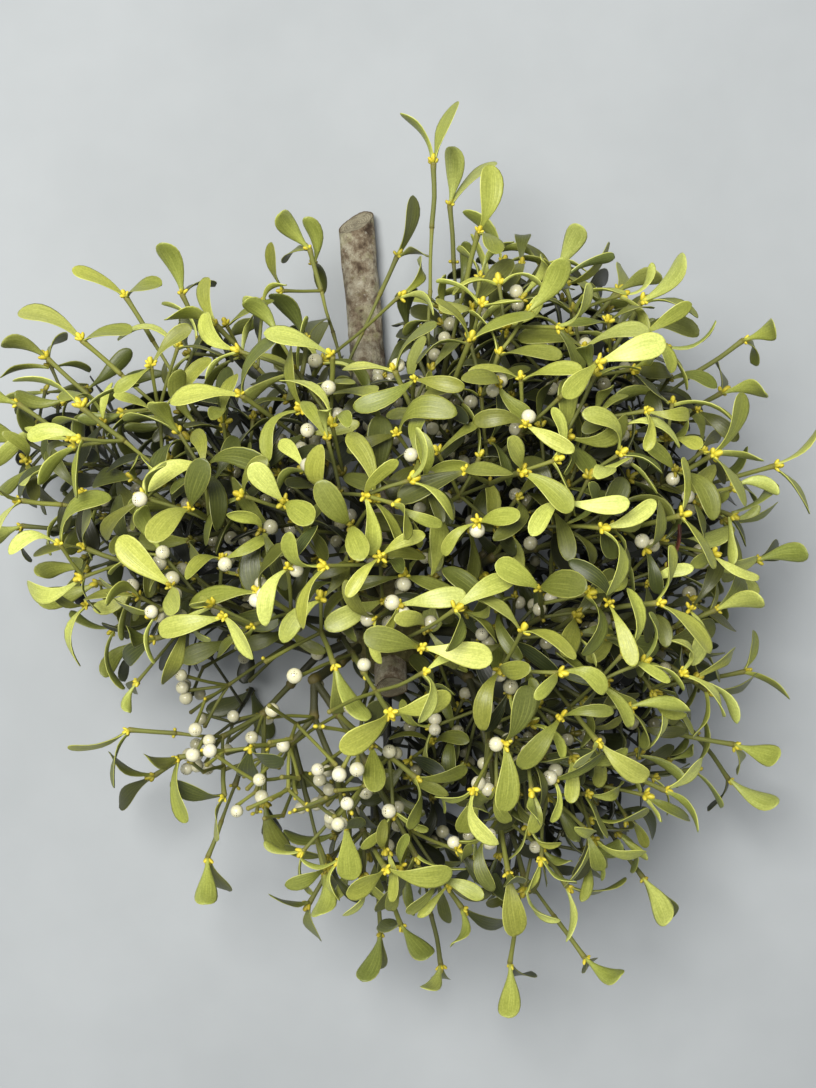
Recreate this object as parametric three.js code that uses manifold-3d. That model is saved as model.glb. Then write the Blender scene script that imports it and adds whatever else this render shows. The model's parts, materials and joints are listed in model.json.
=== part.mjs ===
// A bunch of mistletoe on a cut piece of its host branch, lying on a flat surface.
// Millimetres, +Z up. The surface is z = 0, and +Y is the way the host branch points.
//
// The mistletoe forks in two again and again from one swollen base. Each of its main limbs,
// with all its forks, leaf pairs, buds and berries, is one solid: a spray.

import * as THREE from 'three';
import Module from 'manifold-3d';
import { mergeVertices } from 'three/addons/utils/BufferGeometryUtils.js';

const radians = (degrees) => degrees * Math.PI / 180;

// ---- Driving dimensions, in millimetres ----

const BASE = new THREE.Vector3(-12, -47, 92); // middle of the swollen base
const BASE_RADIUS = 25;
const ROOT_DEPTH = 3; // how deep a spray's root sits in the base
const SEAT_GAP = 0.3; // clearance between a root and its socket
const BASE_STRETCH = 0.2; // the base is this much longer along the host branch
const BASE_KNOBS = 0.07; // its unevenness, of its radius
const SOCKET_LENGTH = 30;
const SOCKET_SIDES = 6;

const BRANCH_TIP = new THREE.Vector3(-33, 208, 10); // middle of the host branch's cut end
const BRANCH_ARC = 2.4; // power of the curve in which the branch rises from there to the base
const BRANCH_RADIUS = 11.5;
const BRANCH_END_RADIUS = 9.5; // just past the base
const BRANCH_PAST_BASE = 34; // the host branch goes on this far past the middle of the base
const BRANCH_SIDES = 14;
const BRANCH_STATIONS = [0, 0.1, 0.22, 0.36, 0.5, 0.64, 0.76, 0.88, 1]; // from the cut end to the base
const BRANCH_NEAR_BASE = 0.8; // a place on the branch just before the base, as a share of the way
const BARK_RIDGES = [0.03, 0.02]; // the bark's unevenness, of the radius
const CUT_FACING = new THREE.Vector3(-0.35, 0.75, 0.5); // the slanting cut's outward normal

const LEAF_LENGTH = [27, 38]; // shortest and longest
const LEAF_WIDTH = 0.4; // of the length
const LEAF_ARCH = [0.08, 0.17]; // rise of the curved blade, of the length
const LEAF_KEEL = 1.7; // thickness along the midrib
const LEAF_TWIST = [-0.14, 0.14]; // from its root to its tip, in radians
const LEAF_OPENING = [38, 78]; // angle between a leaf and its stem, in degrees
const LEAF_STATIONS = [[0.3, 0.74], [0.62, 1], [0.9, 0.66]]; // place along the leaf, share of its width
const LEAF_THIN = 0.6; // the keel of the narrowest section, of the keel of the widest

const BUD_HEIGHT = 4;
const BERRY_RADIUS = 4;
const BERRY_SHARE = 0.14; // of the two places at each fork, front and back, that bear one
const STEM_RADIUS = [1.45, 1.6, 1.9, 2.4, 3]; // at the tips, and then one fork further in each time
const NODE_SWELL = 1.12; // stems are a little thicker where they fork
const CROTCH_HEIGHT = 1.9; // how far the web between two stems stands out, of their radius
const FORK_LIMIT = 0.5; // a fork stands no further than this share of the way to its nearest tip

// How far the rounded body of the bunch reaches sideways from the base, every 30 degrees round
// from +X. Single shoots reach further.
const BODY_REACH = [182, 204, 214, 188, 170, 196, 128, 92, 112, 148, 180, 182];
const BODY_MIDDLE_Z = 139;
const BODY_HALF_HEIGHT = 127;
const BODY_FLATNESS = 4;
const BODY_LAYERS = [1, 0.84, 0.95, 0.7]; // tips stand at several depths below the outside
const LEAST_REACH = 85; // of a tip, from the middle of the base
const BODY_TIPS = 200; // before those that would crowd the single shoots are left out

const VIEW_HEIGHT = 1000; // the single shoots are placed as they are seen from this height
const VIEW_MIDDLE = 150; // their x and y are measured at this height

const CENTRING = new THREE.Vector3(12, 12, 0); // brings the middle of the whole over the origin

const SHOOT_SPACING = 40; // least distance from a single shoot's tip to the body's tips
const TIPS_PER_SPRAY = 15;
const TIP_CLEARANCE = 36; // the body's tips stand at least this far from the host branch's axis
const BRANCH_CLEARANCE = 26; // and forks this far
const CONE_LENGTH = 70; // this near the base, forks stand outside a cone round the branch
const CONE_SLOPE = 1.1;
const FLOOR_CLEARANCE = 9; // forks stand this far above the surface
const SEED = 20;

// How leaves and stems find room.
const STEM_ROOM = 2; // clearance round stems while they are drawn apart, in millimetres
const LEAF_ROOM = 0.8; // clearance round stems for leaves and berries
const LEAF_MARGIN = 0.6; // clearance round leaves
const LEAF_FOOT = [0.1, 0.3]; // the station at which a leaf's guard starts
const BERRY_ROOM = 4.5; // half the width of a berry's guard
const BRANCH_ROOM = 1.5; // radius of the host branch's guard, of its own
const BERRY_SEAT = 0.7; // how far out a berry's middle is from the stem's skin, of its radius
const MOST_TRIES = 40;
const WANDER_STEP = 1.5;
const LEAST_SPREAD = radians(58); // between the two leaves of a pair
const PAIR_SKEW = 0.6; // most turn of a drawn pair out of one plane, in radians
const LAY_STEPS = 12;
const UNTANGLE_PASSES = 16;
const UNTANGLE_STEP = 1;

// Single shoots, chosen by hand: where the tip's node stands, and how far each of its two
// leaves reaches from there. Where a leaf is left out, it is drawn at random.
const SHOOTS = [
  // top
  [[14, 211, 165], [-18, 26, 8], [13, 37, -6]],
  [[23, 188, 120], [23, 27, -8], [3, 28, 18]],
  [[40, 173, 196], [6, 35, 10], [8, -16, 24]],
  [[-6, 160, 85], [9, 32, 8], [16, -4, 26]],
  [[-54, 164, 110], [-15, 15, 24], [-15, -2, -26]],
  [[52, 156, 140]],
  [[81, 150, 95], [12, 23, 22]],
  [[115, 141, 120], [20, 5, 26]],
  [[128, 135, 165], [19, 17, 20], [29, -11, 14]],
  // left
  [[-155, 138, 150], [-27, 13, 12], [23, 3, 22]],
  [[-124, 139, 110], [-9, 25, 20], [15, 9, -25]],
  [[-179, 114, 165], [-38, 17, 0], [30, 3, 15]],
  [[-198, 104, 100], [-20, 6, 22], [5, 14, -26]],
  [[-214, 79, 125], [-20, 10, 20], [2, -11, -28]],
  [[-179, 77, 190], [-38, 15, 8], [29, 14, -12]],
  [[-209, 58, 75], [-22, 8, 18], [-7, -9, -30]],
  [[-213, 26, 140], [-14, 14, 26], [-10, -20, 18]],
  [[-212, 12, 85], [-11, -6, 28], [0, -19, -22]],
  [[-178, -1, 165], [-24, -4, 18], [8, 20, 22]],
  [[-170, -19, 110], [-31, -9, 14], [12, -20, -22]],
  [[-105, 122, 160]],
  [[-56, 113, 130]],
  // lower left
  [[-153, -100, 120], [-32, -8, 14], [-11, -27, 18]],
  [[-139, -125, 85], [-22, 15, 20], [-22, -19, -12]],
  [[-126, -115, 150], [6, -34, 10], [-12, 4, 32]],
  [[-86, -109, 165], [19, -3, 26], [-4, -21, -24]],
  [[-110, -170, 100], [2, -20, 28], [9, -23, -20]],
  [[-101, -136, 130], [0, -19, 28], [-27, 10, 16]],
  [[-79, -139, 100], [13, -24, 20], [2, -22, -24]],
  // bottom
  [[-46, -177, 150]],
  [[-54, -195, 105], [-20, 9, 24], [4, -25, -20]],
  [[-15, -211, 85], [-10, -21, 24], [-3, -25, -18]],
  [[-4, -207, 145], [15, -11, 28]],
  [[18, -229, 110], [-9, -6, 28], [0, -14, -28]],
  [[56, -228, 100], [-3, -24, 22], [14, -12, -26]],
  [[97, -225, 125], [17, -3, 26], [4, -11, -30]],
  [[55, -178, 190]],
  [[129, -181, 130], [9, -20, 26]],
  // right
  [[141, -133, 180], [14, -18, 24]],
  [[157, -122, 110]],
  [[179, -108, 140], [19, -4, 26], [7, -17, -24]],
  [[176, -127, 80], [23, -11, 20]],
  [[185, -68, 110], [19, -12, 24]],
  [[169, -34, 180], [21, 6, 24]],
  [[191, -7, 120], [24, 4, 20]],
  [[201, 45, 135], [24, 25, 12], [22, -26, -8]],
  [[167, 51, 190], [15, 34, 8]],
  [[172, 85, 110], [19, -2, 26]],
  [[184, 114, 150], [11, 3, 30], [11, -9, -28]],
  // the large leaves that stand highest
  [[104, 102, 235], [37, 11, 4], [-20, -20, 12]],
  [[62, 42, 258], [27, -22, 6]],
  [[53, -107, 240], [-1, -37, 5]],
  [[137, -30, 225], [29, -27, 3]],
  [[150, 18, 215], [17, -29, 8]],
  [[34, 114, 215], [-19, 20, 14]],
  [[-41, -63, 235], [4, -30, -22], [19, -30, 14]],
];

// Low shoots on which the bunch rests, beside the host branch's end. Their leaves are let down
// until they touch the surface.
const RESTING_SHOOTS = [
  [[84, -66, 13], [24, -16, -8], [-12, -28, -8]],
  [[-86, -78, 13], [-26, -12, -8], [10, -28, -8]],
  [[80, 66, 13], [26, 14, -8], [-8, 28, -8]],
  [[-98, 40, 13], [-28, 6, -8], [-4, 28, -8]],
  [[10, -140, 13], [24, -18, -8], [-22, -20, -8]],
];
const TOUCH = 0.1; // how near the surface their lowest points come

// The host branch's cut end is seen from above: nothing stands in front of this window, which is
// measured as the single shoots are.
const WINDOW = { left: -43, right: -14, low: 106, high: 188, above: 26 };

// The body is open towards the lower left, where its inner stems and berries are seen: none of
// the body's own tips stand here.
const OPENING = { left: -122, right: -22, low: -150, high: -58, above: 50 };

// ---- Colours ----

const BARK = new THREE.MeshStandardMaterial({ color: 0x6b624f, roughness: 0.9, metalness: 0 });
const BASE_WOOD = new THREE.MeshStandardMaterial({ color: 0x6f6a3a, roughness: 0.85, metalness: 0 });
const LEAF_GREEN = new THREE.MeshStandardMaterial({ color: 0xa3ab52, roughness: 0.5, metalness: 0 });

// ---- Small helpers ----

const wasm = await Module();
wasm.setup();

let randomState = SEED;

function draw() { // a repeatable number from 0 to 1
  randomState = (Math.imul(randomState, 1664525) + 1013904223) >>> 0;
  return randomState / 4294967296;
}

const between = (range, share) => range[0] + (range[1] - range[0]) * share;
const along = (from, way, distance) => from.clone().addScaledVector(way, distance);
const wayTo = (from, to) => to.clone().sub(from).normalize();

function across(vector, axis) { // the unit part of a vector at right angles to an axis
  return along(vector, axis, -vector.dot(axis)).normalize();
}

function middleOf(points) {
  return points.reduce((sum, point) => sum.add(point), new THREE.Vector3()).divideScalar(points.length);
}

function anyAcross(axis) {
  const other = Math.abs(axis.z) < 0.8 ? new THREE.Vector3(0, 0, 1) : new THREE.Vector3(1, 0, 0);
  return across(other, axis);
}

// A closed surface that is being put together from points and triangles.
class Skin {
  points = [];
  faces = [];

  add(...points) {
    return points.map((point) => this.points.push(point) - 1);
  }

  // Joins two rings of the same number of points. Each ring holds the points' numbers.
  tube(from, to) {
    for (let i = 0; i < from.length; i++) {
      const next = (i + 1) % from.length;
      this.faces.push([from[i], from[next], to[next]], [from[i], to[next], to[i]]);
    }
  }

  // Closes a ring with a point (a tip), or the start of one with start set.
  close(ring, point, start = false) {
    for (let i = 0; i < ring.length; i++) {
      const next = (i + 1) % ring.length;
      this.faces.push(start ? [ring[next], ring[i], point] : [ring[i], ring[next], point]);
    }
  }
}

// ---- The host branch ----

// The branch lies almost level at its cut end and rises in an arc to the base.
function branchAxis(share) {
  const point = BRANCH_TIP.clone().lerp(BASE, share);
  point.z = BRANCH_TIP.z + (BASE.z - BRANCH_TIP.z) * Math.max(share, 0) ** BRANCH_ARC;
  return point;
}

// The distance from a point to the branch's axis.
function toBranch(point) {
  const shares = Array.from({ length: 21 }, (_, i) => i / 20);
  return Math.min(...shares.map((share) => branchAxis(share).distanceTo(point)));
}

const BRANCH_LENGTH = BRANCH_TIP.distanceTo(BASE);
const BRANCH_LAST = 1 + BRANCH_PAST_BASE / BRANCH_LENGTH;

function branchSkin(swell) {
  const skin = new Skin();
  let last = null;
  for (const share of [...BRANCH_STATIONS, BRANCH_LAST]) {
    const middle = branchAxis(share);
    const way = wayTo(branchAxis(share - 0.01), branchAxis(share + 0.01));
    const side = across(new THREE.Vector3(1, 0, 0), way);
    const up = way.clone().cross(side);
    const radius = between([BRANCH_RADIUS, BRANCH_END_RADIUS], share) + swell;
    const ring = [];
    for (let i = 0; i < BRANCH_SIDES; i++) {
      const angle = (i + 0.5) / BRANCH_SIDES * 2 * Math.PI;
      const ridge = BARK_RIDGES[0] * Math.sin(3 * angle + 9 * share);
      const distance = radius * (1 + ridge + BARK_RIDGES[1] * Math.sin(5 * angle - 31 * share));
      const point = along(middle, side, Math.sin(angle) * distance);
      point.addScaledVector(up, -Math.cos(angle) * distance);
      if (share === 0) { // the slanting cut
        const slant = middle.clone().sub(point).dot(CUT_FACING) / way.dot(CUT_FACING);
        point.addScaledVector(way, slant);
      }
      point.z = Math.max(point.z, 0); // it is worn flat where it lies on the surface
      ring.push(skin.add(point)[0]);
    }
    if (last) {
      skin.tube(last, ring);
    } else {
      skin.close(ring, skin.add(middle)[0], true);
    }
    last = ring;
  }
  skin.close(last, skin.add(branchAxis(BRANCH_LAST))[0]);
  return skin;
}

// ---- Where the tips stand ----

// Turns a place as it is seen from above into its real place at its height.
function seen([x, y, z], height = z) {
  const spread = (VIEW_HEIGHT - height) / (VIEW_HEIGHT - VIEW_MIDDLE);
  return new THREE.Vector3(x * spread, y * spread, z);
}

function bodyReach(azimuth) {
  const place = (azimuth / (2 * Math.PI) * BODY_REACH.length + BODY_REACH.length) % BODY_REACH.length;
  const before = Math.floor(place);
  const ease = (1 - Math.cos((place - before) * Math.PI)) / 2;
  return between([BODY_REACH[before], BODY_REACH[(before + 1) % BODY_REACH.length]], ease);
}

// Does a point stand in front of an area that is measured as it is seen?
function isBefore(point, area) {
  const scale = (VIEW_HEIGHT - VIEW_MIDDLE) / (VIEW_HEIGHT - point.z);
  const x = point.x * scale;
  const y = point.y * scale;
  const beside = x > area.left && x < area.right;
  return point.z > area.above && beside && y > area.low && y < area.high;
}

function makeTips() {
  const tips = [...SHOOTS, ...RESTING_SHOOTS].map((shoot) => {
    const [place, ...leaves] = shoot;
    return {
      at: seen(place),
      leaves: leaves.map((leaf) => seen(leaf, place[2])),
      resting: RESTING_SHOOTS.includes(shoot),
    };
  });
  const shoots = tips.length;
  for (let i = 0; i < BODY_TIPS; i++) { // evenly spread over a rounded body
    const height = 1 - 2 * (i + 0.5) / BODY_TIPS;
    const azimuth = i * Math.PI * (3 - Math.sqrt(5));
    const layer = BODY_LAYERS[i % BODY_LAYERS.length];
    const flatness = height < 0 ? BODY_FLATNESS : 2; // it is flattened below by its weight
    const reach = bodyReach(azimuth) * Math.sqrt(1 - Math.abs(height) ** flatness) * layer;
    const at = new THREE.Vector3(
      BASE.x + Math.cos(azimuth) * reach,
      BASE.y + Math.sin(azimuth) * reach,
      BODY_MIDDLE_Z + height * BODY_HALF_HEIGHT * layer,
    );
    const crowded = tips.slice(0, shoots).some((shoot) => shoot.at.distanceTo(at) < SHOOT_SPACING);
    const near = at.distanceTo(BASE) < LEAST_REACH || toBranch(at) < TIP_CLEARANCE;
    if (!crowded && !near && !isBefore(at, WINDOW) && !isBefore(at, OPENING)) {
      tips.push({ at, leaves: [] });
    }
  }
  return tips;
}

// ---- How the stems fork ----

// Splits tips in two equal halves, across the axis along which their ways from a place differ most.
function halves(tips, from) {
  const spreads = ['x', 'y', 'z'].map((axis) => {
    const values = tips.map((tip) => wayTo(from, tip.at)[axis]);
    return [Math.max(...values) - Math.min(...values), axis];
  });
  const axis = spreads.sort((a, b) => b[0] - a[0])[0][1];
  const sorted = [...tips].sort((a, b) => wayTo(from, a.at)[axis] - wayTo(from, b.at)[axis]);
  const middle = Math.ceil(sorted.length / 2);
  return [sorted.slice(0, middle), sorted.slice(middle)];
}

function limbs(tips) {
  if (tips.length <= TIPS_PER_SPRAY) {
    return [tips];
  }
  return halves(tips, BASE).flatMap(limbs);
}

// Moves a fork clear of the host branch and of the surface.
function keepClear(point) {
  const way = wayTo(BASE, branchAxis(BRANCH_NEAR_BASE));
  const beside = point.clone().sub(BASE);
  const rise = beside.dot(way);
  beside.addScaledVector(way, -rise);
  if (point.distanceTo(BASE) < CONE_LENGTH && beside.length() < CONE_SLOPE * Math.abs(rise)) {
    point.copy(along(BASE, way, rise)).add(beside.setLength(CONE_SLOPE * Math.abs(rise)));
  }
  for (let share = 0; share <= BRANCH_NEAR_BASE; share += 0.05) {
    const axis = branchAxis(share);
    if (point.distanceTo(axis) < BRANCH_CLEARANCE) {
      point.copy(along(axis, wayTo(axis, point), BRANCH_CLEARANCE));
    }
  }
  point.z = Math.max(point.z, FLOOR_CLEARANCE);
  return point;
}

// Grows the stem from a place to the node that carries these tips, and on to the tips. What is
// left of the way out is shared equally between the forks still to come.
function grow(parent, from, tips) {
  const level = Math.ceil(Math.log2(tips.length));
  const middle = middleOf(tips.map((tip) => tip.at));
  const node = { parent, level, children: [], leaves: [], berries: [] };
  if (level > 0) {
    const nearest = Math.min(...tips.map((tip) => from.distanceTo(tip.at)));
    const stride = Math.min(from.distanceTo(middle) / (level + 1), nearest * FORK_LIMIT);
    node.at = keepClear(along(from, wayTo(from, middle), stride));
    node.children = halves(tips, node.at).map((half) => grow(node, node.at, half));
    return node;
  }
  node.tip = tips[0];
  node.at = tips[0].at;
  if (parent.level === 1) {
    return node;
  }
  // A long stem to one tip has a bend in it, where it forked and one side failed.
  const bend = { parent, level: 1, children: [node], leaves: [], berries: [] };
  bend.at = keepClear(from.clone().lerp(middle, 0.5));
  node.parent = bend;
  return bend;
}

function makeSpray(tips) {
  const root = { level: STEM_RADIUS.length - 1, leaves: [], berries: [] };
  const way = wayTo(BASE, middleOf(tips.map((tip) => tip.at)));
  root.children = [grow(root, along(BASE, way, BASE_RADIUS), tips)];
  return root;
}

// Each spray's root stands in the base, in line with its first fork.
function seatRoots() {
  for (const root of sprays) {
    root.at = along(BASE, wayTo(BASE, root.children[0].at), BASE_RADIUS - ROOT_DEPTH);
  }
}

function everyNode(node) {
  return [node, ...node.children.flatMap(everyNode)];
}

// The shortest way from one stem to another, measured between five places on each.
function gapBetween(one, other) {
  const places = [0, 0.25, 0.5, 0.75, 1];
  const placesOn = (node) => places.map((share) => node.parent.at.clone().lerp(node.at, share));
  const theirs = placesOn(other);
  const gaps = placesOn(one).flatMap((from) => theirs.map((to) => to.clone().sub(from)));
  return gaps.reduce((best, gap) => (gap.length() < best.length() ? gap : best));
}

// Draws stems apart that would touch: the ends of both move away from each other.
function untangle(nodes) {
  const stems = nodes.filter((node) => node.parent);
  for (let pass = 0; pass < UNTANGLE_PASSES; pass++) {
    seatRoots();
    const rods = stems.map((node) => stemGuard(node, STEM_ROOM));
    stems.forEach((one, i) => {
      for (let j = i + 1; j < stems.length; j++) {
        if (cross(rods[i], rods[j])) {
          const step = gapBetween(one, stems[j]).setLength(UNTANGLE_STEP);
          new Set([one, one.parent]).forEach((node) => node.at.sub(step));
          new Set([stems[j], stems[j].parent]).forEach((node) => node.at.add(step));
        }
      }
    });
  }
  seatRoots();
}

// Gives a node its axis and its side. The two stems or leaves that leave it lie about in the
// plane of both.
function setFrame(node) {
  const stemWays = node.children.map((child) => wayTo(node.at, child.at));
  const leafWays = node.leaves.map((leaf) => leaf.reach.clone().normalize());
  const waysOut = [...stemWays, ...leafWays];
  const out = waysOut.reduce((sum, way) => sum.add(way), new THREE.Vector3());
  const wayIn = node.parent ? wayTo(node.parent.at, node.at) : out.clone().normalize();
  node.axis = out.add(wayIn).normalize();
  if (waysOut.length === 2) {
    node.side = across(waysOut[0].clone().sub(waysOut[1]), node.axis);
  } else {
    node.side = leafWays.length === 1 ? across(leafWays[0], node.axis) : anyAcross(node.axis);
  }
}

// ---- Leaves ----

// A leaf is an arched blade from its node to its tip. Its top faces along up.
function makeLeaf(node, reach) {
  return {
    root: node.at,
    reach,
    up: across(node.axis, reach.clone().normalize()),
    arch: between(LEAF_ARCH, draw()),
    twist: between(LEAF_TWIST, draw()),
  };
}

// A point of the blade's midline, with the ways across and up from it.
function bladePlace(leaf, share) {
  const length = leaf.reach.length();
  const way = leaf.reach.clone().normalize();
  const middle = along(leaf.root, leaf.reach, share);
  middle.addScaledVector(leaf.up, leaf.arch * length * 4 * share * (1 - share));
  const slope = leaf.arch * 4 * (1 - 2 * share);
  const forward = along(way, leaf.up, slope).normalize();
  const level = way.clone().cross(leaf.up).applyAxisAngle(forward, leaf.twist * share);
  return { middle, level, up: level.clone().cross(forward) };
}

// The blade's three-sided section: one edge, the midrib below, and the other edge.
function bladeSection(leaf, [share, width], swell = 0) {
  const { middle, level, up } = bladePlace(leaf, share);
  const half = leaf.reach.length() * LEAF_WIDTH * width / 2 + swell;
  return [
    along(along(middle, level, half), up, swell),
    along(middle, up, -LEAF_KEEL * (LEAF_THIN + (1 - LEAF_THIN) * width) - swell),
    along(along(middle, level, -half), up, swell),
  ];
}

// Adds a leaf to a skin, from four points of the node that it grows from: those at its two
// sides, the one below it and the one above it.
function addLeaf(skin, leaf, [sideA, below, sideB, above]) {
  let last = skin.add(...bladeSection(leaf, LEAF_STATIONS[0]));
  skin.faces.push([sideA, below, last[1]], [sideA, last[1], last[0]]);
  skin.faces.push([below, sideB, last[2]], [below, last[2], last[1]]);
  skin.faces.push([sideB, above, last[2]], [above, sideA, last[0]], [above, last[0], last[2]]);
  for (const station of LEAF_STATIONS.slice(1)) {
    const section = skin.add(...bladeSection(leaf, station));
    skin.tube(last, section);
    last = section;
  }
  skin.close(last, skin.add(bladePlace(leaf, 1).middle)[0]);
}

// ---- Room for each piece ----

// A guard is a closed skin a little larger than the piece that it stands for. Pieces whose
// guards don't cross are clear of each other.

function finishGuard(skin, nodes) {
  const box = new THREE.Box3().setFromPoints(skin.points);
  const triangles = skin.faces.map((face) => face.map((i) => skin.points[i]));
  const edges = [];
  for (const face of skin.faces) {
    face.forEach((from, i) => {
      const to = face[(i + 1) % 3];
      if (from < to) {
        edges.push([skin.points[from], skin.points[to]]);
      }
    });
  }
  return { box, triangles, edges, nodes };
}

function leafPoints(leaf) {
  return [...LEAF_STATIONS.flatMap((station) => bladeSection(leaf, station)), bladePlace(leaf, 1).middle];
}

const lowestOf = (points) => Math.min(...points.map((point) => point.z));

function leafGuard(leaf, node) {
  const skin = new Skin();
  let last = null;
  for (const station of [LEAF_FOOT, ...LEAF_STATIONS]) {
    const section = skin.add(...bladeSection(leaf, station, LEAF_MARGIN));
    if (last) {
      skin.tube(last, section);
    } else {
      skin.close(section, skin.add(leaf.root)[0], true);
    }
    last = section;
  }
  skin.close(last, skin.add(bladePlace(leaf, 1.03).middle)[0]);
  return finishGuard(skin, [node]);
}

function stemGuard(node, room) {
  return rodGuard(node.parent.at, node.at, STEM_RADIUS[node.level] + room, [node.parent, node]);
}

function rodGuard(from, to, radius, nodes) {
  const skin = new Skin();
  const way = wayTo(from, to);
  const side = anyAcross(way);
  const other = way.clone().cross(side);
  const [start, end] = [from, to].map((middle) => skin.add(...[0, 1, 2, 3].map((i) => {
    const angle = i * Math.PI / 2;
    return along(along(middle, side, Math.cos(angle) * radius), other, Math.sin(angle) * radius);
  })));
  skin.tube(start, end);
  skin.faces.push([start[2], start[1], start[0]], [start[3], start[2], start[0]]);
  skin.faces.push([end[0], end[1], end[2]], [end[0], end[2], end[3]]);
  return finishGuard(skin, nodes);
}

function cuts([from, to], [a, b, c]) { // does this edge pass through this triangle?
  const way = to.clone().sub(from);
  const sideB = b.clone().sub(a);
  const sideC = c.clone().sub(a);
  const normal = way.clone().cross(sideC);
  const scale = sideB.dot(normal);
  if (Math.abs(scale) < 1e-9) {
    return false;
  }
  const start = from.clone().sub(a);
  const u = start.dot(normal) / scale;
  if (u < 0 || u > 1) {
    return false;
  }
  const turned = start.cross(sideB);
  const v = way.dot(turned) / scale;
  const t = sideC.dot(turned) / scale;
  return v >= 0 && u + v <= 1 && t >= 0 && t <= 1;
}

function cross(a, b) {
  if (!a.box.intersectsBox(b.box) || a.nodes.some((node) => b.nodes.includes(node))) {
    return false;
  }
  return a.edges.some((edge) => b.triangles.some((triangle) => cuts(edge, triangle)))
    || b.edges.some((edge) => a.triangles.some((triangle) => cuts(edge, triangle)));
}

const guards = [];

function fits(guard) {
  const hides = guard.triangles.flat().some((point) => isBefore(point, WINDOW));
  return !hides && !guards.some((other) => cross(guard, other));
}

// ---- The leaves and berries find their places ----

function drawnLeaf(node, side) {
  const opening = radians(between(LEAF_OPENING, draw()));
  const length = between(LEAF_LENGTH, draw());
  const reach = node.axis.clone().multiplyScalar(Math.cos(opening)).addScaledVector(side, Math.sin(opening));
  return makeLeaf(node, reach.multiplyScalar(length));
}

// A leaf that reaches about as far as chosen, wandering more with each attempt.
function chosenLeaf(node, reach, wander) {
  const moved = reach.clone();
  moved.x += wander * (draw() - 0.5);
  moved.y += wander * (draw() - 0.5);
  moved.z += wander * (draw() - 0.5);
  const length = THREE.MathUtils.clamp(moved.length(), LEAF_LENGTH[0], LEAF_LENGTH[1]);
  return makeLeaf(node, moved.setLength(length));
}

// Turns the two leaves of a pair so that their tops face each other, and lays a resting pair down.
function turnPair(node, pair) {
  const ways = pair.map((leaf) => leaf.reach.clone().normalize());
  const axis = middleOf([...ways, wayTo(node.parent.at, node.at)]).normalize();
  for (const leaf of pair) {
    leaf.up = across(axis, leaf.reach.clone().normalize());
    for (let step = 0; node.tip.resting && step < LAY_STEPS; step++) {
      leaf.reach.z += TOUCH - lowestOf(leafPoints(leaf));
      leaf.up = across(axis, leaf.reach.clone().normalize());
    }
  }
  return pair;
}

function tryPair(node, attempt) {
  const [one, other] = node.tip.leaves;
  const anySide = node.side.clone().applyAxisAngle(node.axis, 2 * Math.PI * draw());
  const wander = attempt * WANDER_STEP;
  const first = one ? chosenLeaf(node, one, wander) : drawnLeaf(node, anySide);
  const opposite = across(first.reach, node.axis).negate();
  opposite.applyAxisAngle(node.axis, PAIR_SKEW * (draw() - 0.5));
  const second = other ? chosenLeaf(node, other, wander) : drawnLeaf(node, opposite);
  return turnPair(node, first.reach.angleTo(second.reach) > LEAST_SPREAD ? [first, second] : [first]);
}

function placeLeaves(node) {
  for (let attempt = 0; attempt < MOST_TRIES && node.leaves.length < 2; attempt++) {
    const above = tryPair(node, attempt).filter((leaf) => lowestOf(leafPoints(leaf)) > TOUCH / 2);
    const clear = above.filter((leaf) => fits(leafGuard(leaf, node)));
    if (clear.length > node.leaves.length) {
      node.leaves = clear;
    }
  }
  setFrame(node);
  guards.push(...node.leaves.map((leaf) => leafGuard(leaf, node)));
}

function placeBerries(node) {
  const front = node.side.clone().cross(node.axis);
  for (const way of [front, front.clone().negate()]) {
    const at = along(node.at, way, STEM_RADIUS[node.level] + BERRY_RADIUS * BERRY_SEAT);
    const [near, far] = [-BERRY_ROOM, BERRY_ROOM].map((out) => along(at, way, out));
    const guard = rodGuard(near, far, BERRY_ROOM * Math.SQRT2, [node]);
    if (draw() < BERRY_SHARE && fits(guard)) {
      node.berries.push(at);
      guards.push(guard);
    }
  }
}

// ---- Meshes ----

function fourRing(skin, node, swell = 0) {
  const radius = STEM_RADIUS[node.level] * NODE_SWELL + swell;
  const front = node.side.clone().cross(node.axis);
  return skin.add(
    along(node.at, front, radius),
    along(node.at, node.side, radius),
    along(node.at, front, -radius),
    along(node.at, node.side, -radius),
  );
}

// Joins two rings of four, turned so that the tube between them twists least.
function joinRings(skin, from, to, way) {
  const spokes = [from, to].map((ring) => {
    const points = ring.map((i) => skin.points[i]);
    return points.map((point) => across(point.clone().sub(middleOf(points)), way));
  });
  const turns = [0, 1, 2, 3].map((turn) => {
    const match = spokes[0].reduce((sum, spoke, i) => sum + spoke.dot(spokes[1][(i + turn) % 4]), 0);
    return [match, turn];
  });
  const turn = turns.sort((a, b) => b[0] - a[0])[0][1];
  skin.tube(from, from.map((_, i) => to[(i + turn) % 4]));
}

function growSkin(skin, node, ring) {
  if (node.children.length === 1) {
    const child = node.children[0];
    const end = fourRing(skin, child);
    joinRings(skin, ring, end, wayTo(node.at, child.at));
    growSkin(skin, child, end);
    return;
  }
  const [front, right, back, left] = ring;
  const radius = STEM_RADIUS[node.level];
  const height = node.level === 0 ? BUD_HEIGHT : radius * CROTCH_HEIGHT;
  const [crotch] = skin.add(along(node.at, node.axis, height));
  const outs = [[front, right, back, crotch], [back, left, front, crotch]];
  outs.forEach((out, i) => {
    if (node.children[i]) {
      const child = node.children[i];
      const end = fourRing(skin, child);
      joinRings(skin, out, end, wayTo(node.at, child.at));
      growSkin(skin, child, end);
    } else if (node.leaves[i]) {
      addLeaf(skin, node.leaves[i], out);
    } else {
      skin.faces.push([out[0], out[1], out[3]], [out[1], out[2], out[3]]);
    }
  });
}

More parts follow.
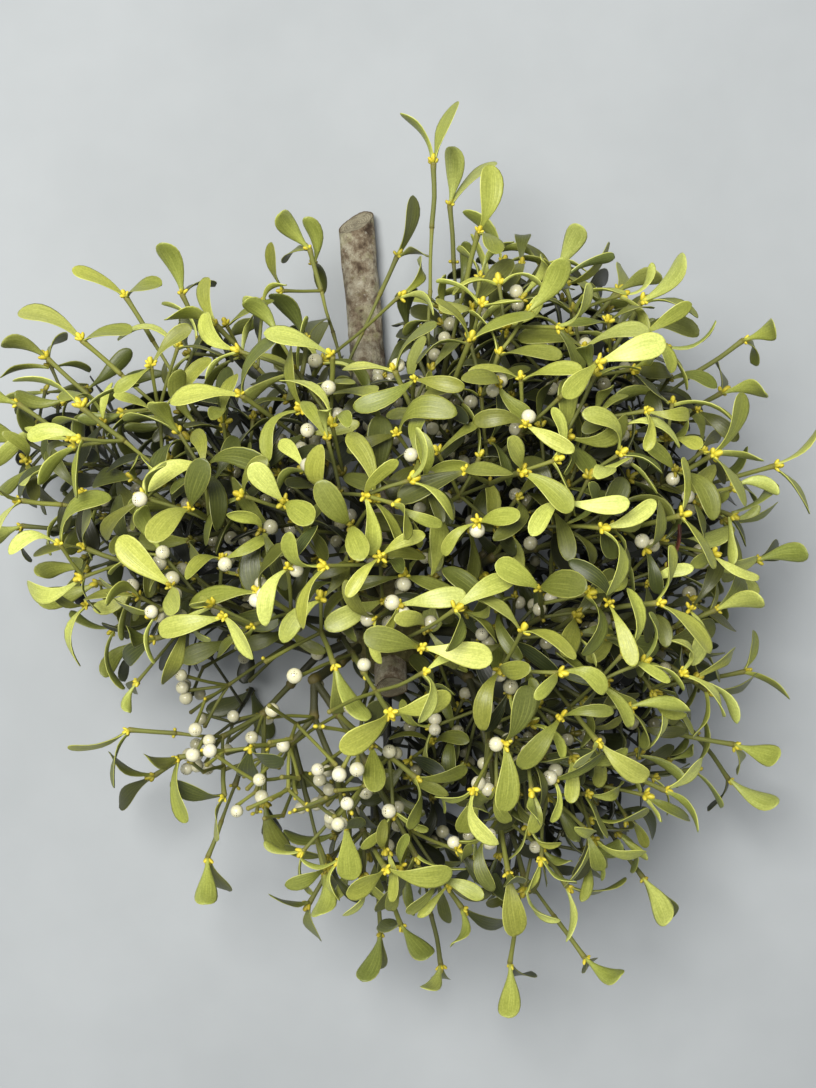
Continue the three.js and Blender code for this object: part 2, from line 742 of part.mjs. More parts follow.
function spraySkin(root) {
  const skin = new Skin();
  const ring = fourRing(skin, root);
  skin.faces.push([ring[2], ring[1], ring[0]], [ring[3], ring[2], ring[0]]);
  growSkin(skin, root, ring);
  return skin;
}

function geometryOf(skin) {
  const geometry = new THREE.BufferGeometry();
  const places = skin.points.flatMap((point) => point.toArray());
  geometry.setAttribute('position', new THREE.Float32BufferAttribute(places, 3));
  geometry.setIndex(skin.faces.flat());
  return geometry;
}

function solidOf(geometry) {
  geometry.deleteAttribute('normal');
  geometry.deleteAttribute('uv');
  const merged = mergeVertices(geometry, 1e-4);
  return new wasm.Manifold(new wasm.Mesh({
    numProp: 3,
    vertProperties: merged.attributes.position.array,
    triVerts: merged.index.array,
  }));
}

function geometryFrom(solid) {
  const { vertProperties, triVerts } = solid.getMesh();
  const geometry = new THREE.BufferGeometry();
  geometry.setAttribute('position', new THREE.BufferAttribute(vertProperties, 3));
  geometry.setIndex(new THREE.BufferAttribute(triVerts, 1));
  return geometry;
}

function berrySolid(at) {
  const berry = new THREE.IcosahedronGeometry(BERRY_RADIUS);
  berry.translate(at.x, at.y, at.z);
  return solidOf(berry);
}

function sprayGeometry(root) {
  const berries = everyNode(root).flatMap((node) => node.berries);
  const leafy = solidOf(geometryOf(spraySkin(root)));
  return geometryFrom(berries.reduce((whole, at) => whole.add(berrySolid(at)), leafy));
}

// The base is a knobbly lump round the host branch, with a socket for each spray's root.
function baseGeometry() {
  const lump = new THREE.IcosahedronGeometry(1, 2);
  const alongBranch = wayTo(BASE, branchAxis(BRANCH_NEAR_BASE));
  const places = lump.attributes.position;
  for (let i = 0; i < places.count; i++) {
    const way = new THREE.Vector3().fromBufferAttribute(places, i);
    const knobs = 1 + BASE_KNOBS * Math.sin(5 * way.x + 1) * Math.sin(4 * way.y + 2) * Math.sin(6 * way.z);
    const place = along(way, alongBranch, way.dot(alongBranch) * BASE_STRETCH);
    place.multiplyScalar(BASE_RADIUS * knobs);
    places.setXYZ(i, ...place.add(BASE).toArray());
  }
  let solid = solidOf(lump).subtract(solidOf(geometryOf(branchSkin(SEAT_GAP))));
  for (const { at, children: [fork], level } of sprays) {
    const way = wayTo(at, fork.at);
    const socket = new THREE.CylinderGeometry(1, 1, SOCKET_LENGTH, SOCKET_SIDES);
    const radius = (STEM_RADIUS[level] * NODE_SWELL + SEAT_GAP) / Math.cos(Math.PI / SOCKET_SIDES);
    socket.scale(radius, 1, radius);
    socket.applyQuaternion(new THREE.Quaternion().setFromUnitVectors(new THREE.Vector3(0, 1, 0), way));
    socket.translate(...along(at, way, SOCKET_LENGTH / 2 - SEAT_GAP).toArray());
    solid = solid.subtract(solidOf(socket));
  }
  return geometryFrom(solid);
}

// ---- The bunch ----

const bunch = new THREE.Group();
bunch.position.copy(CENTRING);

function addPiece(name, geometry, material) {
  const piece = new THREE.Mesh(geometry, material);
  piece.name = name;
  bunch.add(piece);
}

const sprays = limbs(makeTips()).map(makeSpray);
const nodes = sprays.flatMap(everyNode);
untangle(nodes);
nodes.forEach(setFrame);
for (let share = 0; share < 0.99; share += 0.1) {
  guards.push(rodGuard(branchAxis(share), branchAxis(share + 0.1), BRANCH_RADIUS * BRANCH_ROOM, []));
}
guards.push(...nodes.filter((node) => node.parent).map((node) => stemGuard(node, LEAF_ROOM)));
nodes.filter((node) => !node.tip && node.parent).forEach(placeBerries);
const tipNodes = nodes.filter((node) => node.tip);
tipNodes.sort((a, b) => b.tip.leaves.length - a.tip.leaves.length);
tipNodes.forEach(placeLeaves);

sprays.forEach((root, i) => {
  const name = `spray_${String(i + 1).padStart(2, '0')}`;
  addPiece(name, sprayGeometry(root), LEAF_GREEN);
});
addPiece('host_branch', geometryOf(branchSkin(0)), BARK);
addPiece('mistletoe_base', baseGeometry(), BASE_WOOD);

export default bunch;
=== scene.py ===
# The looks of a bunch of mistletoe on a cut piece of its host branch.
#
# The stems fork and the leaves find their places here just as in the part's source, from the
# same named sizes and the same draws, in millimetres. Finer pieces take the places of the plain
# solids, and smaller twigs with leaves, more berries, and the bark's relief are added.

import json
import math

import bpy
import numpy as np
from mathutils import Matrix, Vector, noise

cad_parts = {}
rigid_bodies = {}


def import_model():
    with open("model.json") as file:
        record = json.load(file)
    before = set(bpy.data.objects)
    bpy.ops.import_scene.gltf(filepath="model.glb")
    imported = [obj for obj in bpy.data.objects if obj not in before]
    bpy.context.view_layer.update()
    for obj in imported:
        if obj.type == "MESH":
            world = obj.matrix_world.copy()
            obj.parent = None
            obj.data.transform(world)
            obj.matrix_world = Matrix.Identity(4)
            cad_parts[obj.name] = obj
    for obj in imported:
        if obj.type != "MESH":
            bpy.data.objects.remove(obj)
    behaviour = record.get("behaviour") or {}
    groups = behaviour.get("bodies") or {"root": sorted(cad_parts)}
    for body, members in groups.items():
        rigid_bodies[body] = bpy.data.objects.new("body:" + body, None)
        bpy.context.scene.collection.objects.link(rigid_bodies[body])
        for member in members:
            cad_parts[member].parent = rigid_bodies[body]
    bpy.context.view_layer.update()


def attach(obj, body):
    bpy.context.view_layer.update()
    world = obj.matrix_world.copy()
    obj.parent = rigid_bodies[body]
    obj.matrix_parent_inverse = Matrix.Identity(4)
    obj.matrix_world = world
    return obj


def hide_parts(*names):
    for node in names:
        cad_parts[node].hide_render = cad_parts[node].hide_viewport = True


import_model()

# ---- Driving dimensions, in millimetres, as in the part's source ----

BASE = np.array([-12.0, -47.0, 92.0])  # middle of the swollen base
BASE_RADIUS = 25
ROOT_DEPTH = 3  # how deep a spray's root sits in the base
BASE_STRETCH = 0.2  # the base is this much longer along the host branch

BRANCH_TIP = np.array([-33.0, 208.0, 10.0])  # middle of the host branch's cut end
BRANCH_ARC = 2.4  # power of the curve in which the branch rises from there to the base
BRANCH_RADIUS = 11.5
BRANCH_END_RADIUS = 9.5
BRANCH_PAST_BASE = 34
BRANCH_NEAR_BASE = 0.8  # a place on the branch just before the base, as a share of the way
BARK_RIDGES = [0.03, 0.02]  # of the radius
CUT_FACING = np.array([-0.35, 0.75, 0.5])  # the slanting cut's outward normal

LEAF_LENGTH = [27, 38]
LEAF_WIDTH = 0.4  # of the length
LEAF_ARCH = [0.08, 0.17]  # rise of the curved blade, of the length
LEAF_KEEL = 1.7  # of the plain solids' blades
LEAF_TWIST = [-0.14, 0.14]  # in radians
LEAF_OPENING = [38, 78]  # angle between a leaf and its stem, in degrees
LEAF_STATIONS = [[0.3, 0.74], [0.62, 1], [0.9, 0.66]]  # place along the leaf, share of its width
LEAF_THIN = 0.6

BERRY_RADIUS = 4
BERRY_SHARE = 0.14  # of the two places at each fork that bear one
STEM_RADIUS = [1.45, 1.6, 1.9, 2.4, 3]  # at the tips, and then one fork further in each time
ROOT_LEVEL = len(STEM_RADIUS) - 1
FORK_LIMIT = 0.5  # a fork stands no further than this share of the way to its nearest tip

BODY_REACH = [182, 204, 214, 188, 170, 196, 128, 92, 112, 148, 180, 182]  # round from +X
BODY_MIDDLE_Z = 139
BODY_HALF_HEIGHT = 127
BODY_FLATNESS = 4
BODY_LAYERS = [1, 0.84, 0.95, 0.7]
LEAST_REACH = 85
BODY_TIPS = 200

VIEW_HEIGHT = 1000  # the single shoots are placed as they are seen from this height
VIEW_MIDDLE = 150  # their x and y are measured at this height
CENTRING = np.array([12.0, 12.0, 0.0])  # brings the middle of the whole over the origin

SHOOT_SPACING = 40
TIPS_PER_SPRAY = 15
TIP_CLEARANCE = 36
BRANCH_CLEARANCE = 26
CONE_LENGTH = 70
CONE_SLOPE = 1.1
FLOOR_CLEARANCE = 9
SEED = 20

STEM_ROOM = 2
LEAF_ROOM = 0.8
LEAF_MARGIN = 0.6
LEAF_FOOT = [0.1, 0.3]
BERRY_ROOM = 4.5
BRANCH_ROOM = 1.5
BERRY_SEAT = 0.7
MOST_TRIES = 40
WANDER_STEP = 1.5
LEAST_SPREAD = math.radians(58)
PAIR_SKEW = 0.6
LAY_STEPS = 12
UNTANGLE_PASSES = 16
UNTANGLE_STEP = 1
TOUCH = 0.1
MOST_GUARDS = 4000

# Each shoot: the place of its tip, and the reach of its leaves where they were chosen.
SHOOTS = [
    # top
    [[14, 211, 165], [-18, 26, 8], [13, 37, -6]],
    [[23, 188, 120], [23, 27, -8], [3, 28, 18]],
    [[40, 173, 196], [6, 35, 10], [8, -16, 24]],
    [[-6, 160, 85], [9, 32, 8], [16, -4, 26]],
    [[-54, 164, 110], [-15, 15, 24], [-15, -2, -26]],
    [[52, 156, 140]],
    [[81, 150, 95], [12, 23, 22]],
    [[115, 141, 120], [20, 5, 26]],
    [[128, 135, 165], [19, 17, 20], [29, -11, 14]],
    # left
    [[-155, 138, 150], [-27, 13, 12], [23, 3, 22]],
    [[-124, 139, 110], [-9, 25, 20], [15, 9, -25]],
    [[-179, 114, 165], [-38, 17, 0], [30, 3, 15]],
    [[-198, 104, 100], [-20, 6, 22], [5, 14, -26]],
    [[-214, 79, 125], [-20, 10, 20], [2, -11, -28]],
    [[-179, 77, 190], [-38, 15, 8], [29, 14, -12]],
    [[-209, 58, 75], [-22, 8, 18], [-7, -9, -30]],
    [[-213, 26, 140], [-14, 14, 26], [-10, -20, 18]],
    [[-212, 12, 85], [-11, -6, 28], [0, -19, -22]],
    [[-178, -1, 165], [-24, -4, 18], [8, 20, 22]],
    [[-170, -19, 110], [-31, -9, 14], [12, -20, -22]],
    [[-105, 122, 160]],
    [[-56, 113, 130]],
    # lower left
    [[-153, -100, 120], [-32, -8, 14], [-11, -27, 18]],
    [[-139, -125, 85], [-22, 15, 20], [-22, -19, -12]],
    [[-126, -115, 150], [6, -34, 10], [-12, 4, 32]],
    [[-86, -109, 165], [19, -3, 26], [-4, -21, -24]],
    [[-110, -170, 100], [2, -20, 28], [9, -23, -20]],
    [[-101, -136, 130], [0, -19, 28], [-27, 10, 16]],
    [[-79, -139, 100], [13, -24, 20], [2, -22, -24]],
    # bottom
    [[-46, -177, 150]],
    [[-54, -195, 105], [-20, 9, 24], [4, -25, -20]],
    [[-15, -211, 85], [-10, -21, 24], [-3, -25, -18]],
    [[-4, -207, 145], [15, -11, 28]],
    [[18, -229, 110], [-9, -6, 28], [0, -14, -28]],
    [[56, -228, 100], [-3, -24, 22], [14, -12, -26]],
    [[97, -225, 125], [17, -3, 26], [4, -11, -30]],
    [[55, -178, 190]],
    [[129, -181, 130], [9, -20, 26]],
    # right
    [[141, -133, 180], [14, -18, 24]],
    [[157, -122, 110]],
    [[179, -108, 140], [19, -4, 26], [7, -17, -24]],
    [[176, -127, 80], [23, -11, 20]],
    [[185, -68, 110], [19, -12, 24]],
    [[169, -34, 180], [21, 6, 24]],
    [[191, -7, 120], [24, 4, 20]],
    [[201, 45, 135], [24, 25, 12], [22, -26, -8]],
    [[167, 51, 190], [15, 34, 8]],
    [[172, 85, 110], [19, -2, 26]],
    [[184, 114, 150], [11, 3, 30], [11, -9, -28]],
    # the large leaves that stand highest
    [[104, 102, 235], [37, 11, 4], [-20, -20, 12]],
    [[62, 42, 258], [27, -22, 6]],
    [[53, -107, 240], [-1, -37, 5]],
    [[137, -30, 225], [29, -27, 3]],
    [[150, 18, 215], [17, -29, 8]],
    [[34, 114, 215], [-19, 20, 14]],
    [[-41, -63, 235], [4, -30, -22], [19, -30, 14]],
]

RESTING_SHOOTS = [
    [[84, -66, 13], [24, -16, -8], [-12, -28, -8]],
    [[-86, -78, 13], [-26, -12, -8], [10, -28, -8]],
    [[80, 66, 13], [26, 14, -8], [-8, 28, -8]],
    [[-98, 40, 13], [-28, 6, -8], [-4, 28, -8]],
    [[10, -140, 13], [24, -18, -8], [-22, -20, -8]],
]

# The gap in which the host branch shows, the opening at the lower left, and its surroundings.
WINDOW = {"left": -43, "right": -14, "low": 106, "high": 188, "above": 26}
OPENING = {"left": -122, "right": -22, "low": -150, "high": -58, "above": 50}
WIDE_OPENING = {"left": -140, "right": -12, "low": -165, "high": -45, "above": 30}

# ---- Small helpers ----

MILLIMETRES = 1000  # in a metre
DICE_FACTOR = 1664525
DICE_STEP = 1013904223
DICE_RANGE = 4294967296


class Dice:
    """Repeatable numbers from 0 to 1, the same as in the part's source."""

    def __init__(self, state):
        self.state = state

    def draw(self):
        self.state = (self.state * DICE_FACTOR + DICE_STEP) % DICE_RANGE
        return self.state / DICE_RANGE


dice = Dice(SEED)


def between(ends, share):
    return ends[0] + (ends[1] - ends[0]) * share


def unit(vector):
    return vector / np.sqrt((vector * vector).sum(-1, keepdims=True))


def reach_of(vector):
    return math.sqrt(vector @ vector)


def way_to(start, end):
    return unit(end - start)


def cross3(a, b):
    return np.array([
        a[1] * b[2] - a[2] * b[1],
        a[2] * b[0] - a[0] * b[2],
        a[0] * b[1] - a[1] * b[0],
    ])


def across(vector, axis):
    return unit(vector - axis * (vector @ axis))


def any_across(axis):
    other = np.array([0.0, 0.0, 1.0]) if abs(axis[2]) < 0.8 else np.array([1.0, 0.0, 0.0])
    return across(other, axis)


def turned(vector, axis, angle):
    spun = vector * math.cos(angle) + cross3(axis, vector) * math.sin(angle)
    return spun + axis * (axis @ vector) * (1 - math.cos(angle))


def circle_ways(side, other, angles):
    return np.cos(angles)[:, None] * side + np.sin(angles)[:, None] * other


def golden_turns(number):
    """Angles that spread any number of points evenly, when each also has a height of its own."""
    return number * math.pi * (3 - math.sqrt(5))


# ---- The host branch's line ----


def branch_axis(share):
    point = BRANCH_TIP + (BASE - BRANCH_TIP) * share
    point[2] = BRANCH_TIP[2] + (BASE[2] - BRANCH_TIP[2]) * max(share, 0) ** BRANCH_ARC
    return point


BRANCH_LINE = np.array([branch_axis(i / 20) for i in range(21)])
BRANCH_LENGTH = reach_of(BRANCH_TIP - BASE)
BRANCH_LAST = 1 + BRANCH_PAST_BASE / BRANCH_LENGTH


def to_branch(point):
    return np.sqrt(((BRANCH_LINE - point) ** 2).sum(1)).min()


# ---- Where the tips stand ----


def seen(place, height=None):
    spread = (VIEW_HEIGHT - (place[2] if height is None else height)) / (VIEW_HEIGHT - VIEW_MIDDLE)
    return np.array([place[0] * spread, place[1] * spread, place[2]], float)


def reach_at(reaches, azimuth):
    """Reads a list of reaches that are given every so many degrees round from +X."""
    place = (azimuth / (2 * math.pi) * len(reaches) + len(reaches)) % len(reaches)
    before = math.floor(place)
    ease = (1 - math.cos((place - before) * math.pi)) / 2
    return between([reaches[before], reaches[(before + 1) % len(reaches)]], ease)


def is_before(points, area):
    """Does any of the points stand in front of an area that is measured as it is seen?"""
    points = np.atleast_2d(points)
    scale = (VIEW_HEIGHT - VIEW_MIDDLE) / (VIEW_HEIGHT - points[:, 2])
    x = points[:, 0] * scale
    y = points[:, 1] * scale
    inside = (x > area["left"]) & (x < area["right"]) & (y > area["low"]) & (y < area["high"])
    return bool((inside & (points[:, 2] > area["above"])).any())


class Tip:
    """Where a stem ends. leaves: the reaches of those of its leaves that were chosen."""

    def __init__(self, at, leaves=(), resting=False):
        self.at = at
        self.leaves = list(leaves)
        self.resting = resting


def make_tips():
    tips = []
    for shoots, resting in ((SHOOTS, False), (RESTING_SHOOTS, True)):
        for place, *leaves in shoots:
            tips.append(Tip(seen(place), [seen(leaf, place[2]) for leaf in leaves], resting))
    shoots = list(tips)
    for i in range(BODY_TIPS):
        height = 1 - 2 * (i + 0.5) / BODY_TIPS
        azimuth = golden_turns(i)
        layer = BODY_LAYERS[i % len(BODY_LAYERS)]
        flatness = BODY_FLATNESS if height < 0 else 2
        reach = reach_at(BODY_REACH, azimuth) * math.sqrt(1 - abs(height) ** flatness) * layer
        at = np.array([
            BASE[0] + math.cos(azimuth) * reach,
            BASE[1] + math.sin(azimuth) * reach,
            BODY_MIDDLE_Z + height * BODY_HALF_HEIGHT * layer,
        ])
        crowded = any(reach_of(shoot.at - at) < SHOOT_SPACING for shoot in shoots)
        near = reach_of(at - BASE) < LEAST_REACH or to_branch(at) < TIP_CLEARANCE
        if not crowded and not near and not is_before(at, WINDOW) and not is_before(at, OPENING):
            tips.append(Tip(at))
    return tips


# ---- How the stems fork ----


class Node:
    """A place where stems meet, or the end of one."""

    def __init__(self, parent, level, at=None, tip=None):
        self.parent = parent
        self.level = level
        self.at = at
        self.tip = tip
        self.children = []
        self.leaves = []
        self.berries = []
        self.axis = None
        self.side = None
        self.extra = False  # True for those that aren't in the part's source
        self.light = 1.0


def halves(tips, start):
    ways = np.array([way_to(start, tip.at) for tip in tips])
    axis = int(np.argmax(ways.max(0) - ways.min(0)))
    order = np.argsort(ways[:, axis], kind="stable")
    middle = math.ceil(len(tips) / 2)
    return [tips[i] for i in order[:middle]], [tips[i] for i in order[middle:]]


def limbs(tips):
    if len(tips) <= TIPS_PER_SPRAY:
        return [tips]
    first, second = halves(tips, BASE)
    return limbs(first) + limbs(second)


def keep_clear(point):
    way = way_to(BASE, branch_axis(BRANCH_NEAR_BASE))
    beside = point - BASE
    rise = beside @ way
    beside = beside - way * rise
    if reach_of(point - BASE) < CONE_LENGTH and reach_of(beside) < CONE_SLOPE * abs(rise):
        point = BASE + way * rise + unit(beside) * (CONE_SLOPE * abs(rise))
    share = 0
    while share <= BRANCH_NEAR_BASE:
        axis = branch_axis(share)
        if reach_of(point - axis) < BRANCH_CLEARANCE:
            point = axis + way_to(axis, point) * BRANCH_CLEARANCE
        share += 0.05
    point[2] = max(point[2], FLOOR_CLEARANCE)
    return point


def grow(parent, start, tips):
    level = math.ceil(math.log2(len(tips)))
    middle = np.mean([tip.at for tip in tips], axis=0)
    if level > 0:
        nearest = min(reach_of(tip.at - start) for tip in tips)
        stride = min(reach_of(middle - start) / (level + 1), nearest * FORK_LIMIT)
        node = Node(parent, level, keep_clear(start + way_to(start, middle) * stride))
        node.children = [grow(node, node.at, half) for half in halves(tips, node.at)]
        return node
    node = Node(parent, 0, tips[0].at, tips[0])
    if parent.level == 1:
        return node
    bend = Node(parent, 1, keep_clear(start + (middle - start) * 0.5))
    bend.children = [node]
    node.parent = bend
    return bend


def make_spray(tips):
    root = Node(None, ROOT_LEVEL)
    way = way_to(BASE, np.mean([tip.at for tip in tips], axis=0))
    root.children = [grow(root, BASE + way * BASE_RADIUS, tips)]
    return root


def seat_roots(roots):
    for root in roots:
        root.at = BASE + way_to(BASE, root.children[0].at) * (BASE_RADIUS - ROOT_DEPTH)


def every_node(node):
    return [node] + [below for child in node.children for below in every_node(child)]


def gap_between(one, other):
    shares = np.array([0, 0.25, 0.5, 0.75, 1])[:, None]
    ours = one.parent.at + (one.at - one.parent.at) * shares
    theirs = other.parent.at + (other.at - other.parent.at) * shares
    gaps = (theirs[None, :] - ours[:, None]).reshape(-1, 3)
    return gaps[int(np.argmin((gaps ** 2).sum(1)))]


# ---- Room for each piece ----


class Guard:
    """A closed skin a little larger than the piece that it stands for."""

    def __init__(self, points, faces, nodes):
        points = np.array(points)
        self.nodes = nodes
        self.low = points.min(0)
        self.high = points.max(0)
        self.triangles = points[np.array(faces)]
        pairs = [(face[i], face[(i + 1) % 3]) for face in faces for i in range(3)]
        self.edges = points[np.array([pair for pair in pairs if pair[0] < pair[1]])]


def vector_cross(a, b):
    return np.stack([
        a[..., 1] * b[..., 2] - a[..., 2] * b[..., 1],
        a[..., 2] * b[..., 0] - a[..., 0] * b[..., 2],
        a[..., 0] * b[..., 1] - a[..., 1] * b[..., 0],
    ], -1)


def any_cut(edges, triangles):
    """Does any of these edges pass through any of these triangles?"""
    start = edges[:, None, 0]
    way = edges[:, None, 1] - start
    corner = triangles[None, :, 0]
    side_b = triangles[None, :, 1] - corner
    side_c = triangles[None, :, 2] - corner
    normal = vector_cross(way, side_c)
    scale = (side_b * normal).sum(-1)
    flat = np.abs(scale) < 1e-9
    scale = np.where(flat, 1, scale)
    start = start - corner
    u = (start * normal).sum(-1) / scale
    spun = vector_cross(start, side_b)
    v = (way * spun).sum(-1) / scale
    t = (side_c * spun).sum(-1) / scale
    hit = ~flat & (u >= 0) & (u <= 1) & (v >= 0) & (u + v <= 1) & (t >= 0) & (t <= 1)
    return bool(hit.any())


def guards_cross(one, other):
    if (one.low > other.high).any() or (other.low > one.high).any():
        return False
    if any(node in other.nodes for node in one.nodes):
        return False
    return any_cut(one.edges, other.triangles) or any_cut(other.edges, one.triangles)


class Room:
    """The guards of everything that has been placed."""

    def __init__(self):
        self.guards = []
        self.lows = np.zeros((MOST_GUARDS, 3))
        self.highs = np.zeros((MOST_GUARDS, 3))

    def add(self, guard):
        self.lows[len(self.guards)] = guard.low
        self.highs[len(self.guards)] = guard.high
        self.guards.append(guard)

    def fits(self, guard):
        if is_before(guard.triangles.reshape(-1, 3), WINDOW):
            return False
        count = len(self.guards)
        near = (self.lows[:count] <= guard.high).all(1) & (self.highs[:count] >= guard.low).all(1)
        close = [self.guards[i] for i in np.nonzero(near)[0]]
        close = [other for other in close if not any(node in other.nodes for node in guard.nodes)]
        if not close:
            return True
        if any_cut(guard.edges, np.concatenate([other.triangles for other in close])):
            return False
        return not any_cut(np.concatenate([other.edges for other in close]), guard.triangles)


def tube_faces(first, second, count):
    faces = []
    for i in range(count):
        after = (i + 1) % count
        faces.append((first + i, first + after, second + after))
        faces.append((first + i, second + after, second + i))
    return faces


def rod_guard(start, end, radius, nodes):
    way = way_to(start, end)
    side = any_across(way)
    other = cross3(way, side)
    points = []
    for middle in (start, end):
        for i in range(4):
            angle = i * math.pi / 2
            out = side * (math.cos(angle) * radius)
            points.append(middle + out + other * (math.sin(angle) * radius))
    faces = tube_faces(0, 4, 4) + [(2, 1, 0), (3, 2, 0), (4, 5, 6), (4, 6, 7)]
    return Guard(points, faces, nodes)


def stem_guard(node, room):
    return rod_guard(node.parent.at, node.at, STEM_RADIUS[node.level] + room, [node.parent, node])


def untangle(roots, nodes):
    stems = [node for node in nodes if node.parent]
    for _ in range(UNTANGLE_PASSES):
        seat_roots(roots)
        rods = [stem_guard(node, STEM_ROOM) for node in stems]
        lows = np.array([rod.low for rod in rods])
        highs = np.array([rod.high for rod in rods])
        for i, one in enumerate(stems):
            near = (lows[i + 1:] <= highs[i]).all(1) & (highs[i + 1:] >= lows[i]).all(1)
            for j in np.nonzero(near)[0] + i + 1:
                if guards_cross(rods[i], rods[j]):
                    other = stems[j]
                    step = unit(gap_between(one, other)) * UNTANGLE_STEP
                    for node in (one, one.parent):
                        node.at = node.at - step
                    for node in (other, other.parent):
                        node.at = node.at + step
    seat_roots(roots)


def set_frame(node):
    stem_ways = [way_to(node.at, child.at) for child in node.children]
    leaf_ways = [unit(leaf.reach) for leaf in node.leaves]
    ways_out = stem_ways + leaf_ways
    out = sum(ways_out, np.zeros(3))
    way_in = way_to(node.parent.at, node.at) if node.parent else unit(out)
    node.axis = unit(out + way_in)
    if len(ways_out) == 2:
        node.side = across(ways_out[0] - ways_out[1], node.axis)
    elif len(leaf_ways) == 1:
        node.side = across(leaf_ways[0], node.axis)
    else:
        node.side = any_across(node.axis)


# ---- Leaves ----


class Leaf:
    """A blade. reach: the way and length from its root to its tip."""

    def __init__(self, node, reach, arch, twist):
        self.root = node.at
        self.reach = reach
        self.up = across(node.axis, unit(reach))
        self.arch = arch
        self.twist = twist
        self.bend = 0.0  # how far the blade bows sideways
        self.width = LEAF_WIDTH
        self.form = 1.0  # over 1 puts its widest part nearer the foot
        self.shade = 0.5
        self.warmth = 0.5
        self.light = 1.0


def make_leaf(node, reach):
    arch = between(LEAF_ARCH, dice.draw())
    twist = between(LEAF_TWIST, dice.draw())
    return Leaf(node, reach, arch, twist)


def blade_place(leaf, share):
    length = reach_of(leaf.reach)
    way = leaf.reach / length
    bulge = leaf.arch * length * 4 * share * (1 - share)
    middle = leaf.root + leaf.reach * share + leaf.up * bulge
    slope = leaf.arch * 4 * (1 - 2 * share)
    forward = unit(way + leaf.up * slope)
    level = turned(cross3(way, leaf.up), forward, leaf.twist * share)
    return middle, level, cross3(level, forward)


def blade_section(leaf, station, swell=0):
    share, width = station
    middle, level, up = blade_place(leaf, share)
    half = reach_of(leaf.reach) * LEAF_WIDTH * width / 2 + swell
    keel = -LEAF_KEEL * (LEAF_THIN + (1 - LEAF_THIN) * width) - swell
    return [
        middle + level * half + up * swell,
        middle + up * keel,
        middle - level * half + up * swell,
    ]


def leaf_points(leaf):
    points = [point for station in LEAF_STATIONS for point in blade_section(leaf, station)]
    return points + [blade_place(leaf, 1)[0]]


def lowest_of(points):
    return min(point[2] for point in points)


def leaf_guard(leaf, node):
    points = []
    faces = []
    for i, station in enumerate([LEAF_FOOT] + LEAF_STATIONS):
        points += blade_section(leaf, station, LEAF_MARGIN)
        if i:
            faces += tube_faces(3 * i - 3, 3 * i, 3)
    last = len(points) - 3
    points += [leaf.root, blade_place(leaf, 1.03)[0]]
    foot = len(points) - 2
    faces += [((i + 1) % 3, i, foot) for i in range(3)]
    faces += [(last + i, last + (i + 1) % 3, foot + 1) for i in range(3)]
    return Guard(points, faces, [node])


def drawn_leaf(node, side):
    opening = math.radians(between(LEAF_OPENING, dice.draw()))
    length = between(LEAF_LENGTH, dice.draw())
    reach = node.axis * math.cos(opening) + side * math.sin(opening)
    return make_leaf(node, reach * length)


def chosen_leaf(node, reach, wander):
    moved = reach.copy()
    for i in range(3):
        moved[i] += wander * (dice.draw() - 0.5)
    length = reach_of(moved)
    return make_leaf(node, moved / length * min(max(length, LEAF_LENGTH[0]), LEAF_LENGTH[1]))


def turn_pair(node, pair):
    ways = [unit(leaf.reach) for leaf in pair] + [way_to(node.parent.at, node.at)]
    axis = unit(np.mean(ways, axis=0))
    for leaf in pair:
        leaf.up = across(axis, unit(leaf.reach))
        for _ in range(LAY_STEPS if node.tip.resting else 0):
            leaf.reach = leaf.reach + np.array([0, 0, TOUCH - lowest_of(leaf_points(leaf))])
            leaf.up = across(axis, unit(leaf.reach))
    return pair


def angle_between(a, b):
    return math.acos(max(-1, min(1, unit(a) @ unit(b))))


def try_pair(node, attempt):
    one, other = (node.tip.leaves + [None, None])[:2]
    any_side = turned(node.side, node.axis, 2 * math.pi * dice.draw())
    wander = attempt * WANDER_STEP
    first = drawn_leaf(node, any_side) if one is None else chosen_leaf(node, one, wander)
    opposite = turned(-across(first.reach, node.axis), node.axis, PAIR_SKEW * (dice.draw() - 0.5))
    second = drawn_leaf(node, opposite) if other is None else chosen_leaf(node, other, wander)
    spread = angle_between(first.reach, second.reach)
    return turn_pair(node, [first, second] if spread > LEAST_SPREAD else [first])


def place_leaves(node, room):
    attempt = 0
    while attempt < MOST_TRIES and len(node.leaves) < 2:
        pair = try_pair(node, attempt)
        pair = [leaf for leaf in pair if lowest_of(leaf_points(leaf)) > TOUCH / 2]
        clear = [leaf for leaf in pair if room.fits(leaf_guard(leaf, node))]
        if len(clear) > len(node.leaves):
            node.leaves = clear
        attempt += 1
    set_frame(node)
    for leaf in node.leaves:
        room.add(leaf_guard(leaf, node))


def place_berries(node, room):
    front = cross3(node.side, node.axis)
    for way in (front, -front):
        at = node.at + way * (STEM_RADIUS[node.level] + BERRY_RADIUS * BERRY_SEAT)
        ends = (at - way * BERRY_ROOM, at + way * BERRY_ROOM)
        guard = rod_guard(*ends, BERRY_ROOM * math.sqrt(2), [node])
        if dice.draw() < BERRY_SHARE and room.fits(guard):
            node.berries.append(at)
            room.add(guard)


def grow_bunch():
    roots = [make_spray(tips) for tips in limbs(make_tips())]
    nodes = [node for root in roots for node in every_node(root)]
    untangle(roots, nodes)
    for node in nodes:
        set_frame(node)
    room = Room()
    share = 0
    while share < 0.99:
        ends = (branch_axis(share), branch_axis(share + 0.1))
        room.add(rod_guard(*ends, BRANCH_RADIUS * BRANCH_ROOM, []))
        share += 0.1
    for node in nodes:
        if node.parent:
            room.add(stem_guard(node, LEAF_ROOM))
    for node in nodes:
        if not node.tip and node.parent:
            place_berries(node, room)
    tips = sorted([node for node in nodes if node.tip], key=lambda node: -len(node.tip.leaves))
    for node in tips:
        place_leaves(node, room)
    return roots


roots = grow_bunch()

# ---- Extra twigs, leaves and berries ----

